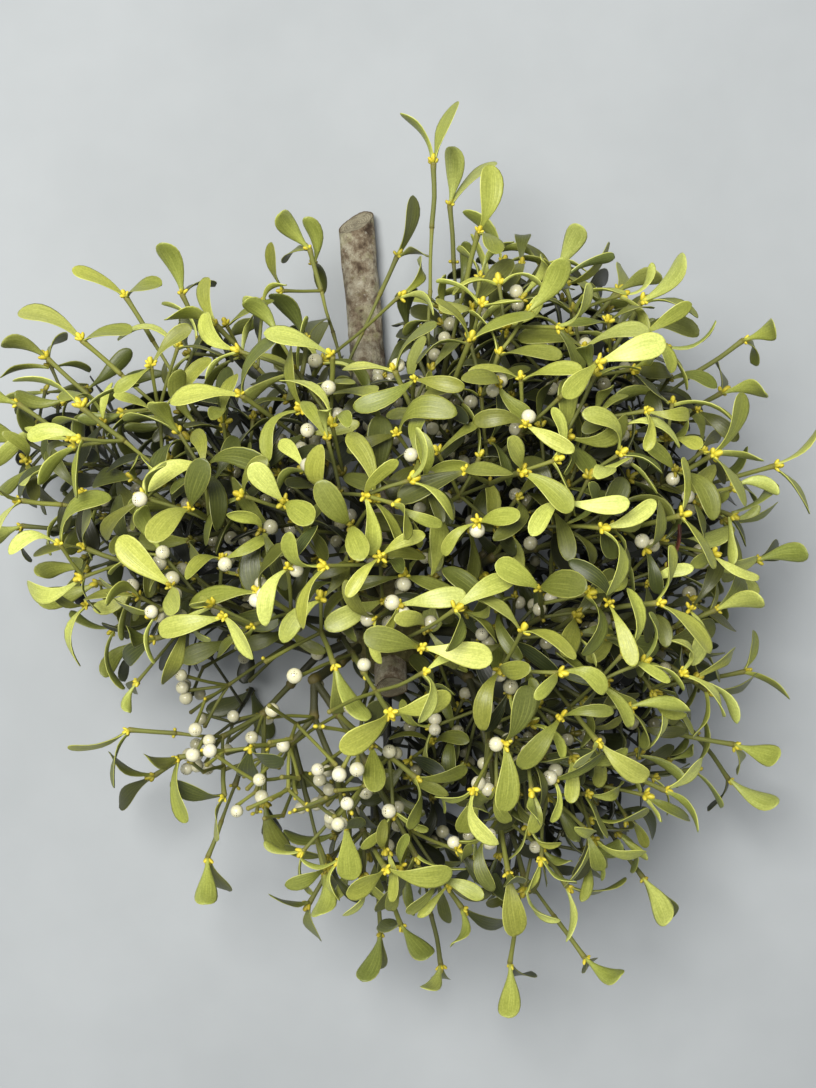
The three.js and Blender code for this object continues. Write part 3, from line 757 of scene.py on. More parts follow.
CELL = 2  # of the grid that keeps pieces apart
GRID_LOW = np.array([-290.0, -300.0, -4.0])
GRID_CELLS = (290, 300, 172)
GRID_DEPTH = 1.3  # how thick leaves are in the grid
GRID_MARGIN = 0.3  # how much thicker stems are in it
NODE_ROOM = 3.2  # half the width of what stands at the end of a stem
TWIG_NODE_ROOM = 2.5
LONG_STEM = 36  # stems longer than this have a node between their ends
MOST_STEMS = 5  # out of one node

# The fine blades of the source's leaves: their width of LEAF_WIDTH, form and sideways bow.
DRESSED_WIDTH = [0.92, 1.02]
DRESSED_FORM = [0.92, 1.12]
DRESSED_BEND = [-0.04, 0.04]

TWIG_TIPS = 560  # how many extra twigs are grown all over the bunch
TWIG_TRIES = 70000
TWIG_LENGTH = [20, 40]
TWIG_RADIUS = 1.05
TWIG_FOOT = 5  # the nearest part of a twig's stem may touch its parent
TWIG_OUTWARD = 0.8  # how strongly they grow away from the base
TWIG_ONWARD = 0.5  # and on from their parent
TWIG_CROWDED = 0.9  # cosine of the least angle between two stems of a node
TWIG_BACKWARD = 0.1  # cosine of the most that they turn from the stem that bears them
TWIG_REACH = [180, 212, 230, 188, 146, 212, 172, 136, 126, 140, 160, 174]  # as BODY_REACH
TWIG_HEIGHT = 1.04  # of the rounded body's
TWIGS_IN_OPENING = 0.03  # share of them that may stand in the opening
TWIG_LEAF_LENGTH = [23, 37]
TWIG_LEAF_SHORTER = [[-130, -30], [0.82, 1]]  # towards the bunch's lower end, along Y
TWIG_LEAF_OPENING = [34, 84]
TWIG_LEAF_ARCH = [0.06, 0.3]
TWIG_LEAF_TWIST = [-0.9, 0.9]
TWIG_LEAF_WIDTH = [0.24, 0.36]
TWIG_LEAF_FORM = [0.88, 1.15]
TWIG_LEAF_BEND = [-0.16, 0.16]
TWIG_LEAF_TRIES = 4
TWIG_LEAF_TURN = 0.9  # between one try and the next
TWIG_LEAF_SKEW = 0.3
TWIG_DROOP = 0.35  # how strongly their leaves hang towards -Y
TWIG_SAG = np.array([1.0, 1.0, 0.6])  # they lie flatter than they grow
TWIG_BOX = [[-254, -270, 1], [232, 246, 292]]  # no extra leaf reaches out of it

LOW_TWIGS = 200  # more of them, low down, beside the opening
LOW_TWIG_LENGTH = [30, 72]
LOW_TWIGS_BELOW = 120

# Places that few other twigs reach: where, how wide, and how many twigs grow there.
GAPS = [([40, 2, 110], 48, 40), ([10, -104, 100], 45, 40)]
GAP_MARGIN = 30  # their twigs grow from nodes up to this much further away
GAP_TRIES = 20000

STRAY_TWIGS = 26  # on the shoots that stand out of the rounded body, towards -X and +Y
STRAY_TWIG_LENGTH = [14, 36]
STRAY_OUTWARD = 0.3
STRAY_REACH = 1.7
STRAY_FROM = 0.9
STRAY_RIGHT = -50
STRAY_LOW = 30

BARE_TWIGS = 80  # in the opening: they bear berries and no leaves
BARE_TWIG_LENGTH = [14, 50]
BARE_TWIG_TRIES = 20000
BARE_TWIG_BERRIES = 0.35  # share of them that bear one

EXTRA_BERRIES = 600  # how often berries are tried at a fork
BERRY_TRIES = 5  # for each berry
BERRY_TOUCH = 0.85  # how far a berry's middle is from the stem's skin, of its radius
BERRY_CORE = 0.8  # what it fills of the grid, of its radius
MOST_BERRIES = 3  # at one fork
BERRIES_IN_OPENING = 0.02  # share of the extra berries that are tried there first
BERRIES_WITHIN = 0.85  # how far out the other berries grow, as outwardness gives it
BERRY_LIGHT = 0.2  # no berries are added in less light

LOOKS_SEED = 7
rng = np.random.default_rng(LOOKS_SEED)


class Space:
    """A grid that remembers where something stands."""

    def __init__(self):
        self.taken = np.zeros(GRID_CELLS, bool)

    def cells(self, points):
        places = ((np.asarray(points) - GRID_LOW) / CELL).astype(int)
        places = np.clip(places, 0, np.array(self.taken.shape) - 1)
        return tuple(places.T)

    def free(self, points):
        return not self.taken[self.cells(points)].any()

    def take(self, points):
        self.taken[self.cells(points)] = True


space = Space()


def blade_rows(leaf, shares):
    """The blade's midline at many shares, with the ways across and up."""
    shares = np.asarray(shares)[:, None]
    length = reach_of(leaf.reach)
    way = leaf.reach / length
    flat = cross3(way, leaf.up)
    bow = leaf.up * leaf.arch + flat * leaf.bend
    middles = leaf.root + leaf.reach * shares + bow * (length * 4 * shares * (1 - shares))
    forwards = unit(way + bow * (4 * (1 - 2 * shares)))
    level = unit(flat - forwards * (forwards @ flat)[:, None])
    angles = leaf.twist * shares
    levels = level * np.cos(angles) + vector_cross(forwards, level) * np.sin(angles)
    return middles, levels, vector_cross(levels, forwards)


# Places along a blade, and its width there as a share of its greatest.
BLADE_SHARES = np.array([0.03, 0.09, 0.17, 0.27, 0.38, 0.5, 0.62, 0.74, 0.84, 0.92, 0.97, 1])
BLADE_WIDTHS = np.array([0.14, 0.17, 0.25, 0.4, 0.6, 0.8, 0.94, 1, 0.94, 0.75, 0.49, 0.13])

# The light from above is measured along these ways, and painted into the colours as shade.
SKY_WAYS = np.array([
    [0, 0, 1],
    [0.5, 0.2, 0.85],
    [-0.5, 0.3, 0.82],
    [0.1, -0.5, 0.86],
    [-0.2, 0.6, 0.8],
])
SKY_STEPS = np.arange(6, 96, CELL)
SKY_REACH = 3.1  # this many taken cells leave a little over a third of the light
LIGHT_HEIGHTS = [10, 150]
LIGHT_THERE = [0.45, 1]


def open_sky(point):
    """How much of the light from above reaches a place between what stands over it, from 0 to 1."""
    along_ways = np.asarray(point) + (SKY_WAYS[:, None] * SKY_STEPS[:, None]).reshape(-1, 3)
    hits = space.taken[space.cells(along_ways)].reshape(len(SKY_WAYS), -1).sum(1)
    return float(np.exp(-hits / SKY_REACH).mean())


def light_at(point):
    """As open_sky, but less near the floor. Colours are darkened by it as painted shade."""
    return open_sky(point) * float(np.interp(point[2], LIGHT_HEIGHTS, LIGHT_THERE))


def leaf_cells(leaf):
    """Points all over a blade, above and below, but for its foot."""
    shares = np.linspace(0.12, 1, 26)
    middles, levels, ups = blade_rows(leaf, shares)
    half = np.interp(shares, BLADE_SHARES, BLADE_WIDTHS) * reach_of(leaf.reach) * leaf.width / 2
    spans = np.linspace(-1, 1, 11)[None, :, None]
    skin = middles[:, None] + levels[:, None] * half[:, None, None] * spans
    depths = (0, GRID_DEPTH)
    return np.concatenate([(skin - ups[:, None] * depth).reshape(-1, 3) for depth in depths])


def rod_cells(start, end, radius, skip=0):
    """Points all over a stem, but for the first part that is skipped."""
    length = reach_of(end - start)
    way = (end - start) / length
    side = any_across(way)
    other = cross3(way, side)
    steps = np.arange(skip, length, 1.3)
    turns = np.arange(6) * math.pi / 3
    ring = radius * circle_ways(side, other, turns)
    return (start + steps[:, None, None] * way + ring[None]).reshape(-1, 3)


def ball_cells(at, radius):
    """Points all over a ball."""
    count = 80
    heights = 1 - 2 * (np.arange(count) + 0.5) / count
    turns = golden_turns(np.arange(count))
    flat = np.sqrt(1 - heights ** 2)
    ways = np.stack([np.cos(turns) * flat, np.sin(turns) * flat, heights], 1)
    return at + ways * radius


def outwardness(point):
    """0 at the middle of the bunch and 1 at its outside."""
    beside = point - BASE
    reach = reach_at(TWIG_REACH, math.atan2(beside[1], beside[0]))
    height = (point[2] - BODY_MIDDLE_Z) / (BODY_HALF_HEIGHT * TWIG_HEIGHT)
    flatness = BODY_FLATNESS if height < 0 else 2
    return (beside[0] ** 2 + beside[1] ** 2) / reach ** 2 + abs(height) ** flatness


def dress(root):
    """Gives each of the spray's leaves the width and form that the fine blades need."""
    for node in every_node(root):
        for leaf in node.leaves:
            leaf.width = LEAF_WIDTH * rng.uniform(*DRESSED_WIDTH)
            leaf.form = rng.uniform(*DRESSED_FORM)
            leaf.bend = rng.uniform(*DRESSED_BEND)


def split_long_stems(root):
    for node in every_node(root):
        if node.parent is None:
            continue
        gap = reach_of(node.at - node.parent.at)
        count = math.ceil(gap / LONG_STEM)
        above = node.parent
        for i in range(1, count):
            at = node.parent.at * (1 - i / count) + node.at * (i / count)
            joint = Node(above, node.level, at)
            joint.axis = way_to(node.parent.at, node.at)
            joint.side = any_across(joint.axis)
            joint.extra = True
            above.children = [joint if child is node else child for child in above.children]
            joint.children = [node]
            above = joint
        if count > 1:
            node.parent = above


for root in roots:
    dress(root)
    split_long_stems(root)


def all_nodes():
    return [node for root in roots for node in every_node(root)]


for node in all_nodes():
    if node.parent:
        space.take(rod_cells(node.parent.at, node.at, STEM_RADIUS[node.level] + GRID_MARGIN))
    for leaf in node.leaves:
        space.take(leaf_cells(leaf))
    for berry in node.berries:
        space.take(ball_cells(berry, BERRY_RADIUS))
    space.take(ball_cells(node.at, NODE_ROOM))
for share in np.linspace(0, BRANCH_LAST, 200):
    for radius in (2, 6, 9, BRANCH_RADIUS + 1):
        space.take(ball_cells(branch_axis(share), radius))
for radius in range(2, BASE_RADIUS + 2, 2):
    space.take(ball_cells(BASE, radius))


def twig_leaf(node, side):
    opening = math.radians(rng.uniform(*TWIG_LEAF_OPENING))
    length = rng.uniform(*TWIG_LEAF_LENGTH) * np.interp(node.at[1], *TWIG_LEAF_SHORTER)
    way = node.axis * math.cos(opening) + side * math.sin(opening)
    reach = unit(way * TWIG_SAG + np.array([0.0, -TWIG_DROOP, 0.0])) * length
    leaf = Leaf(node, reach, rng.uniform(*TWIG_LEAF_ARCH), rng.uniform(*TWIG_LEAF_TWIST))
    leaf.width = rng.uniform(*TWIG_LEAF_WIDTH)
    leaf.form = rng.uniform(*TWIG_LEAF_FORM)
    leaf.bend = rng.uniform(*TWIG_LEAF_BEND)
    return leaf


def ring_of_berries(node, count):
    """Up to so many berries that touch the node and have room."""
    for _ in range(count * BERRY_TRIES):
        if len(node.berries) >= count:
            return
        way = unit(rng.normal(size=3) + node.axis * 0.4 + np.array([0, 0, 0.7]))
        at = node.at + way * (TWIG_RADIUS + BERRY_RADIUS * BERRY_TOUCH)
        skin = ball_cells(at, BERRY_RADIUS)
        outer = skin[(skin - at) @ way > 0]
        if space.free(outer) and at[2] > BERRY_RADIUS + 1:
            node.berries.append(at)
            space.take(ball_cells(at, BERRY_RADIUS * BERRY_CORE))


def new_twig(parent, length, way):
    twig = Node(parent, 0, parent.at + way * length)
    twig.extra = True
    twig.axis = way
    twig.side = turned(any_across(way), way, rng.uniform(0, 2 * math.pi))
    return twig


def twig_way(parent, outward=TWIG_OUTWARD):
    """A way out of a node that isn't close to those of its other stems, or None."""
    wander = unit(rng.normal(size=3))
    way = unit(way_to(BASE, parent.at) * outward + wander + parent.axis * TWIG_ONWARD)
    crowded = any(way @ way_to(parent.at, child.at) > TWIG_CROWDED for child in parent.children)
    backward = way @ way_to(parent.parent.at, parent.at) < TWIG_BACKWARD
    return None if crowded or backward else way


def in_twig_box(points):
    return bool((points > TWIG_BOX[0]).all() and (points < TWIG_BOX[1]).all())


def try_twig(parent, lengths=TWIG_LENGTH, outward=TWIG_OUTWARD, most_out=1, near=None):
    """Grows a twig with a pair of leaves from a node, where there is room.

    most_out: how far out it may end, as outwardness gives it. near: a place, and the distance
    from it within which the twig has to end.
    """
    way = twig_way(parent, outward)
    if way is None:
        return None
    twig = new_twig(parent, rng.uniform(*lengths), way)
    if outwardness(twig.at) > most_out or is_before(twig.at, WINDOW):
        return None
    if twig.at[2] < FLOOR_CLEARANCE:
        return None
    if near and reach_of(twig.at - near[0]) > near[1]:
        return None
    if is_before(twig.at, WIDE_OPENING) and rng.random() > TWIGS_IN_OPENING:
        return None
    stem = rod_cells(parent.at, twig.at, TWIG_RADIUS, TWIG_FOOT)
    if not space.free(stem):
        return None
    for _ in range(TWIG_LEAF_TRIES):
        leaves = [twig_leaf(twig, twig.side)]
        skew = rng.uniform(-TWIG_LEAF_SKEW, TWIG_LEAF_SKEW)
        leaves.append(twig_leaf(twig, turned(-twig.side, way, skew)))
        skins = [leaf_cells(leaf) for leaf in leaves]
        if all(space.free(s) and in_twig_box(s) and not is_before(s, WINDOW) for s in skins):
            twig.leaves = leaves
            for points in skins + [stem, ball_cells(twig.at, TWIG_NODE_ROOM)]:
                space.take(points)
            return twig
        twig.side = turned(twig.side, way, TWIG_LEAF_TURN)
    return None


def try_bare_twig(parent):
    """Grows a short twig that ends in berries, in the opening."""
    way = twig_way(parent)
    if way is None:
        return None
    twig = new_twig(parent, rng.uniform(*BARE_TWIG_LENGTH), way)
    stem = rod_cells(parent.at, twig.at, TWIG_RADIUS, TWIG_FOOT)
    if not is_before(twig.at, OPENING) or outwardness(twig.at) > 1 or not space.free(stem):
        return None
    ring_of_berries(twig, int(rng.random() < BARE_TWIG_BERRIES))
    space.take(stem)
    return twig


def try_stray_twig(parent):
    """Grows a twig from a shoot that stands out of the rounded body."""
    if outwardness(parent.at) < STRAY_FROM:
        return None
    if parent.at[0] > STRAY_RIGHT or parent.at[1] < STRAY_LOW:
        return None
    return try_twig(parent, STRAY_TWIG_LENGTH, STRAY_OUTWARD, STRAY_REACH)


def try_low_twig(parent):
    """Grows a twig with leaves low down, beside the opening."""
    if parent.at[2] > LOW_TWIGS_BELOW or is_before(parent.at, WIDE_OPENING):
        return None
    return try_twig(parent, LOW_TWIG_LENGTH)


def grow_twigs(parents, attempt, most, tries, go_on):
    """Grows twigs until there are enough. The share go_on of them may bear twigs themselves."""
    grown = 0
    for _ in range(tries):
        parent = parents[rng.integers(len(parents))]
        room = grown < most and len(parent.children) < MOST_STEMS
        twig = attempt(parent) if room else None
        if twig:
            parent.children.append(twig)
            grown += 1
            if rng.random() < go_on:
                parents.append(twig)


def fill_gap(parents, place, wide, most):
    """Grows twigs that end within a distance of a place."""
    place = np.array(place)
    close = [node for node in parents if reach_of(node.at - place) < wide + GAP_MARGIN]

    def try_filling_twig(parent):
        return try_twig(parent, outward=0, near=(place, wide))

    grow_twigs(close, try_filling_twig, most, GAP_TRIES, go_on=0.5)


def add_twigs():
    inner = [node for node in all_nodes() if node.parent and node.children]
    inner = [node for node in inner if node.level < ROOT_LEVEL]
    grow_twigs(list(inner), try_bare_twig, BARE_TWIGS, BARE_TWIG_TRIES, go_on=0.4)
    grow_twigs(inner, try_twig, TWIG_TIPS, TWIG_TRIES, go_on=0.35)
    grow_twigs(inner, try_low_twig, LOW_TWIGS, TWIG_TRIES, go_on=0.5)
    for place, wide, most in GAPS:
        fill_gap(inner, place, wide, most)
    grow_twigs(list(inner), try_stray_twig, STRAY_TWIGS, TWIG_TRIES, go_on=0.4)


def add_berries():
    """Adds berries at the forks that are lit."""
    lit = [node for node in all_nodes() if node.parent and node.level < ROOT_LEVEL]
    lit = [node for node in lit if light_at(node.at) > BERRY_LIGHT]
    shown = [node for node in lit if is_before(node.at, OPENING)]
    forks = [node for node in lit if not is_before(node.at, WIDE_OPENING)]
    forks = [node for node in forks if outwardness(node.at) < BERRIES_WITHIN]
    for _ in range(EXTRA_BERRIES):
        some = shown if rng.random() < BERRIES_IN_OPENING else forks
        node = some[rng.integers(len(some))]
        if not is_before(node.at, WINDOW):
            ring_of_berries(node, min(len(node.berries) + rng.integers(1, 3), MOST_BERRIES))


add_twigs()
add_berries()

# ---- Meshes ----

PLAIN_TINT = np.array([0.5, 0.5, 0.5])


def grid_places(round_shares, row_shares):
    return np.stack(np.broadcast_arrays(round_shares[None, :], row_shares[:, None]), -1)


class Shell:
    """Rings of points that are gathered into one mesh.

    Each point also has a place on the piece, a tint of three numbers and the light it gets, which
    darkens its colour as painted shade.
    """

    def __init__(self):
        self.points = []
        self.faces = []
        self.places = []
        self.tints = []
        self.lights = []
        self.count = 0

    def add_rings(self, rings, places, tint, light=1.0):
        """rings: rows x round x 3. places: rows x round x 2. tint: for all points or for each."""
        rows, turns = rings.shape[:2]
        index = self.count + np.arange(rows * turns).reshape(rows, turns)
        after = np.roll(index, -1, axis=1)
        quads = np.stack([index[:-1], after[:-1], after[1:], index[1:]], -1).reshape(-1, 4)
        self.faces += quads.tolist()
        self.faces.append(index[0][::-1].tolist())
        self.faces.append(index[-1].tolist())
        self.points.append(rings.reshape(-1, 3))
        self.places.append(places.reshape(-1, 2))
        self.tints.append(np.broadcast_to(tint, (rows, turns, 3)).reshape(-1, 3))
        self.lights.append(np.broadcast_to(light, (rows, turns)).reshape(-1, 1))
        self.count += rows * turns

    def piece(self, name, material):
        mesh = bpy.data.meshes.new(name)
        points = (np.concatenate(self.points) + CENTRING) / MILLIMETRES
        mesh.from_pydata(points.tolist(), [], self.faces)
        mesh.polygons.foreach_set("use_smooth", np.ones(len(mesh.polygons), bool))
        corners = np.zeros(len(mesh.loops), np.int32)
        mesh.loops.foreach_get("vertex_index", corners)
        places = np.concatenate(self.places)[corners]
        layer = mesh.uv_layers.new(name="place")
        layer.uv.foreach_set("vector", places.astype(np.float32).ravel())
        colours = np.concatenate([np.concatenate(self.tints), np.concatenate(self.lights)], 1)
        attribute = mesh.color_attributes.new("tint", "FLOAT_COLOR", "POINT")
        attribute.data.foreach_set("color", colours.astype(np.float32).ravel())
        mesh.materials.append(material)
        mesh.update()
        piece = bpy.data.objects.new(name, mesh)
        bpy.context.scene.collection.objects.link(piece)
        return piece


# Places round a blade's section, from one edge along its underside to the other and back.
BLADE_ACROSS = np.array([1, 0.86, 0.4, 0, -0.4, -0.86, -1, -0.86, -0.4, 0, 0.4, 0.86])
BLADE_IS_TOP = np.array([0.5, 0, 0, 0, 0, 0, 0.5, 1, 1, 1, 1, 1])
BLADE_THICKNESS = [[0, 0.2, 0.6, 1], [1.5, 1.15, 0.95, 0.6]]  # at these shares of its length
BLADE_ROUNDING = 0.78  # how much thinner it is at its edges
BLADE_CHANNEL = 0.45  # how far its middle lies below its edges
BLADE_WAVE = 0.35  # waviness of the edges
NEAR_FLOOR = 2.5  # leaves lower than this are pressed flatter by the surface they lie on
LOWEST_LEAF = 0.05


def add_blade(shell, leaf):
    length = reach_of(leaf.reach)
    shares = BLADE_SHARES ** leaf.form
    shares[-1] = 1
    middles, levels, ups = blade_rows(leaf, shares)
    half = BLADE_WIDTHS * length * leaf.width / 2
    fullness = half / half.max()
    thick = np.minimum(np.interp(shares, *BLADE_THICKNESS), 2.2 * half)
    phase = rng.uniform(0, 2 * math.pi)
    cup = rng.uniform(-0.5, 0.9) * fullness
    across_points = BLADE_ACROSS[None, :] * half[:, None]
    edge = BLADE_ACROSS[None, :] ** 2
    wave = BLADE_WAVE * np.sin(shares * 9 + phase)[:, None] * np.sign(BLADE_ACROSS) * edge
    channel = -BLADE_CHANNEL * (1 - edge) * fullness[:, None]
    below = (1 - BLADE_IS_TOP)[None, :]
    sunk = thick[:, None] * (1 - BLADE_ROUNDING * edge ** 2) * below
    height = channel + wave + cup[:, None] * edge - sunk
    rings = middles[:, None] + levels[:, None] * across_points[..., None]
    rings = rings + ups[:, None] * height[..., None]
    low = rings[..., 2] < NEAR_FLOOR
    rings[low, 2] = np.interp(rings[low, 2], [-1.6, NEAR_FLOOR], [LOWEST_LEAF, NEAR_FLOOR])
    tint = np.zeros(rings.shape)
    tint[..., 0] = leaf.shade
    tint[..., 1] = leaf.warmth
    tint[..., 2] = BLADE_IS_TOP[None, :]
    shell.add_rings(rings, grid_places(BLADE_ACROSS * 0.5 + 0.5, shares), tint, leaf.light)


STEM_TURNS = 9
STEM_BOW = 0.012  # of its length
GRAIN_LENGTH = 40  # of a stem, for each step in its places


def ring_round(middles, ways, radii, turns):
    """Rings of points round a line. The first side is carried along it, so that nothing twists."""
    side = any_across(ways[0])
    rings = []
    for middle, way, radius in zip(middles, ways, radii):
        side = across(side, way)
        other = cross3(way, side)
        angles = np.arange(turns) * 2 * math.pi / turns
        rings.append(middle + radius * circle_ways(side, other, angles))
    return np.array(rings)


def add_stem(shell, node):
    start, end = node.parent.at, node.at
    length = reach_of(end - start)
    way = (end - start) / length
    side = any_across(way)
    inner_shares = np.linspace(3.5 / length, 1 - 4 / length, max(5, int(length / 6)))
    shares = np.concatenate([[0, 1.5 / length], inner_shares, [1 - 1.5 / length, 1]])
    shares = np.clip(shares, 0, 1)
    bow = side * rng.normal(0, STEM_BOW) * length
    bow = bow + cross3(way, side) * rng.normal(0, STEM_BOW) * length
    swing = bow * (np.sin(math.pi * shares) ** 2)[:, None]
    middles = start + (end - start) * shares[:, None] + swing
    ways = unit(np.gradient(middles, axis=0))
    radius = TWIG_RADIUS if node.extra and node.level == 0 else STEM_RADIUS[node.level]
    done = shares * length
    left = (1 - shares) * length
    flare = 0.24 * np.exp(-(left / 4) ** 2) + 0.1 * np.exp(-(done / 3) ** 2)
    rings = ring_round(middles, ways, radius * (0.92 + flare), STEM_TURNS)
    places = grid_places(np.arange(STEM_TURNS) / STEM_TURNS, done / GRAIN_LENGTH)
    ends = np.exp(-(left / 2.2) ** 2) + np.exp(-(done / 2.2) ** 2)
    tint = np.zeros(rings.shape)
    # the level: thicker inner stems are painted darker, partly as they grow older and partly as
    # painted shade
    tint[..., 0] = node.level / ROOT_LEVEL
    tint[..., 1] = rng.random()
    tint[..., 2] = ends[:, None]
    light = node.parent.light * (1 - shares) + node.light * shares
    shell.add_rings(rings, places, tint, light[:, None])


def add_ball(shell, at, axis, long, wide, tint, light, rows=7, turns=8, lobes=0.0, count=4):
    """A rounded body that stands on a place and points along an axis, with or without lobes."""
    side = any_across(axis)
    other = cross3(axis, side)
    angles = np.arange(turns) * 2 * math.pi / turns
    slopes = np.linspace(0.03, math.pi - 0.03, rows)
    heights = (1 - np.cos(slopes)) / 2
    spread = 1 + lobes * heights[:, None] ** 2 * np.cos(count * angles)[None, :]
    flat = (np.sin(slopes) * wide)[:, None] * spread
    rings = at + heights[:, None, None] * long * axis
    rings = rings + flat[..., None] * circle_ways(side, other, angles)
    shell.add_rings(rings, grid_places(angles / (2 * math.pi), heights), np.array(tint), light)


def add_node_lump(shell, node):
    radius = STEM_RADIUS[node.level] * (1.3 if node.children else 1.15)
    if node.extra and node.level == 0:
        radius = TWIG_RADIUS * 1.3
    # the level darkens the lump as it does its stem: partly for growing older, partly as painted
    # shade
    tint = [node.level / ROOT_LEVEL, rng.random(), 1]
    foot = node.at - node.axis * radius * 0.95
    add_ball(shell, foot, node.axis, radius * 1.9, radius, tint, node.light, 6, 9)


def add_buds(shell, node):
    """A middle bud and a few round it, in the fork between two leaves."""
    size = rng.uniform(0.9, 1.35)
    foot = node.at + node.axis * 0.4
    shade = rng.random()
    long = 4.8 * size
    wide = 1.25 * size
    add_ball(shell, foot, node.axis, long, wide, [shade, rng.random(), 0], node.light, 7, 8, 0.35)
    start = rng.uniform(0, 2 * math.pi)
    count = rng.integers(3, 6)
    for i in range(count):
        way = turned(node.side, node.axis, start + i * 2 * math.pi / count + rng.uniform(-0.3, 0.3))
        lean = unit(way + node.axis * rng.uniform(0.3, 1.3))
        long = rng.uniform(2.8, 4.6) * size
        wide = rng.uniform(0.8, 1.1) * size
        add_ball(shell, foot, lean, long, wide, [shade, rng.random(), 0], node.light, 6, 7, 0.35, 3)


def add_fork_buds(shell, node):
    """A small bud at the front or back of a fork, at both or at neither."""
    front = cross3(node.side, node.axis)
    for way in (front, -front):
        if rng.random() < 0.6:
            lean = unit(way + node.axis * rng.uniform(0.1, 0.8))
            foot = node.at + lean * STEM_RADIUS[node.level] * 0.8
            tint = [rng.random(), rng.random(), 0]
            add_ball(shell, foot, lean, rng.uniform(2, 3.2), 1.05, tint, node.light, 6, 7, 0.3)


def add_berry(shell, at, node):
    radius = BERRY_RADIUS * rng.uniform(0.84, 1.02)
    axis = way_to(node.at, at)
    tint = [rng.random(), rng.random(), rng.random()]
    foot = at - axis * radius * 0.96
    add_ball(shell, foot, axis, radius * 1.92, radius, tint, light_at(at), 12, 14)


# ---- Materials ----


def srgb(red, green, blue):
    """A colour as it looks on a screen, from 0 to 255, as the light values that Blender takes."""
    values = [value / 255 for value in (red, green, blue)]
    return [v / 12.92 if v <= 0.04045 else ((v + 0.055) / 1.055) ** 2.4 for v in values] + [1]


class Nodes:
    """Builds a material's nodes."""

    def __init__(self, name, roughness, specular, subsurface=0.0, subsurface_scale=0.001):
        self.material = bpy.data.materials.new(name)
        self.material.use_nodes = True
        self.tree = self.material.node_tree
        self.shader = self.tree.nodes["Principled BSDF"]
        self.shader.inputs["Roughness"].default_value = roughness
        self.shader.inputs["Specular IOR Level"].default_value = specular
        self.shader.inputs["Subsurface Weight"].default_value = subsurface
        self.shader.inputs["Subsurface Scale"].default_value = subsurface_scale
        self.shader.inputs["Subsurface Radius"].default_value = (1, 0.9, 0.35)

    def add(self, kind, **settings):
        node = self.tree.nodes.new(kind)
        for key, value in settings.items():
            setattr(node, key, value)
        return node

    def plug(self, value, socket):
        if isinstance(value, bpy.types.NodeSocket):
            self.tree.links.new(value, socket)
        else:
            socket.default_value = value

    def split(self, socket):
        node = self.add("ShaderNodeSeparateXYZ")
        self.plug(socket, node.inputs[0])
        return node.outputs

    def tint(self, output="Vector"):
        return self.add("ShaderNodeAttribute", attribute_name="tint").outputs[output]

    def place(self):
        return self.add("ShaderNodeUVMap", uv_map="place").outputs["UV"]

    def maths(self, operation, *values, clamp=False):
        node = self.add("ShaderNodeMath", operation=operation, use_clamp=clamp)
        for value, socket in zip(values, node.inputs):
            self.plug(value, socket)
        return node.outputs[0]

    def times(self, value, number):
        return self.maths("MULTIPLY", value, number)

    def mix(self, factor, first, second, blend="MIX"):
        node = self.add("ShaderNodeMix", data_type="RGBA", blend_type=blend)
        self.plug(factor, node.inputs["Factor"])
        self.plug(first, node.inputs[6])
        self.plug(second, node.inputs[7])
        return node.outputs[2]

    def stain(self, base, where, amount, *colour):
        """Lays a colour over another: where says where, from 0 to 1, and amount how strongly."""
        return self.mix(self.times(where, amount), base, srgb(*colour))

    def ramp(self, factor, stops):
        node = self.add("ShaderNodeValToRGB")
        elements = node.color_ramp.elements
        while len(elements) < len(stops):
            elements.new(0.5)
        for element, (place, colour) in zip(elements, stops):
            element.position = place
            element.color = colour
        self.plug(factor, node.inputs["Fac"])
        return node.outputs["Color"]

    def steps(self, factor, low, high):
        """Rises smoothly from 0 to 1 between two values."""
        node = self.add("ShaderNodeMapRange", interpolation_type="SMOOTHSTEP")
        self.plug(factor, node.inputs["Value"])
        node.inputs["From Min"].default_value = low
        node.inputs["From Max"].default_value = high
        return node.outputs["Result"]

    def here(self):
        return self.add("ShaderNodeTexCoord").outputs["Object"]

    def noise(self, scale, detail=3, roughness=0.55, where=None, stretch=None):
        where = where or self.here()
        if stretch:
            mapping = self.add("ShaderNodeMapping")
            mapping.inputs["Scale"].default_value = stretch
            self.plug(where, mapping.inputs["Vector"])
            where = mapping.outputs["Vector"]
        node = self.add("ShaderNodeTexNoise")
        self.plug(where, node.inputs["Vector"])
        node.inputs["Scale"].default_value = scale
        node.inputs["Detail"].default_value = detail
        node.inputs["Roughness"].default_value = roughness
        return node.outputs["Fac"]

    def bump(self, height, distance, strength=1.0):
        node = self.add("ShaderNodeBump")
        node.inputs["Strength"].default_value = strength
        node.inputs["Distance"].default_value = distance
        self.plug(height, node.inputs["Height"])
        self.plug(node.outputs["Normal"], self.shader.inputs["Normal"])

    def colour(self, socket, painted_shade_colour=(46, 49, 39)):
        """Sets the colour with painted shade: darkened by so much where a piece stands inside the
        bunch and gets less light from above.
        """
        dark = self.mix(1.0, socket, srgb(*painted_shade_colour), "MULTIPLY")
        light = self.maths("MULTIPLY_ADD", self.tint("Alpha"), 1.75, -0.36, clamp=True)
        self.plug(self.mix(light, dark, socket), self.shader.inputs["Base Color"])

    def rough(self, socket):
        self.plug(socket, self.shader.inputs["Roughness"])


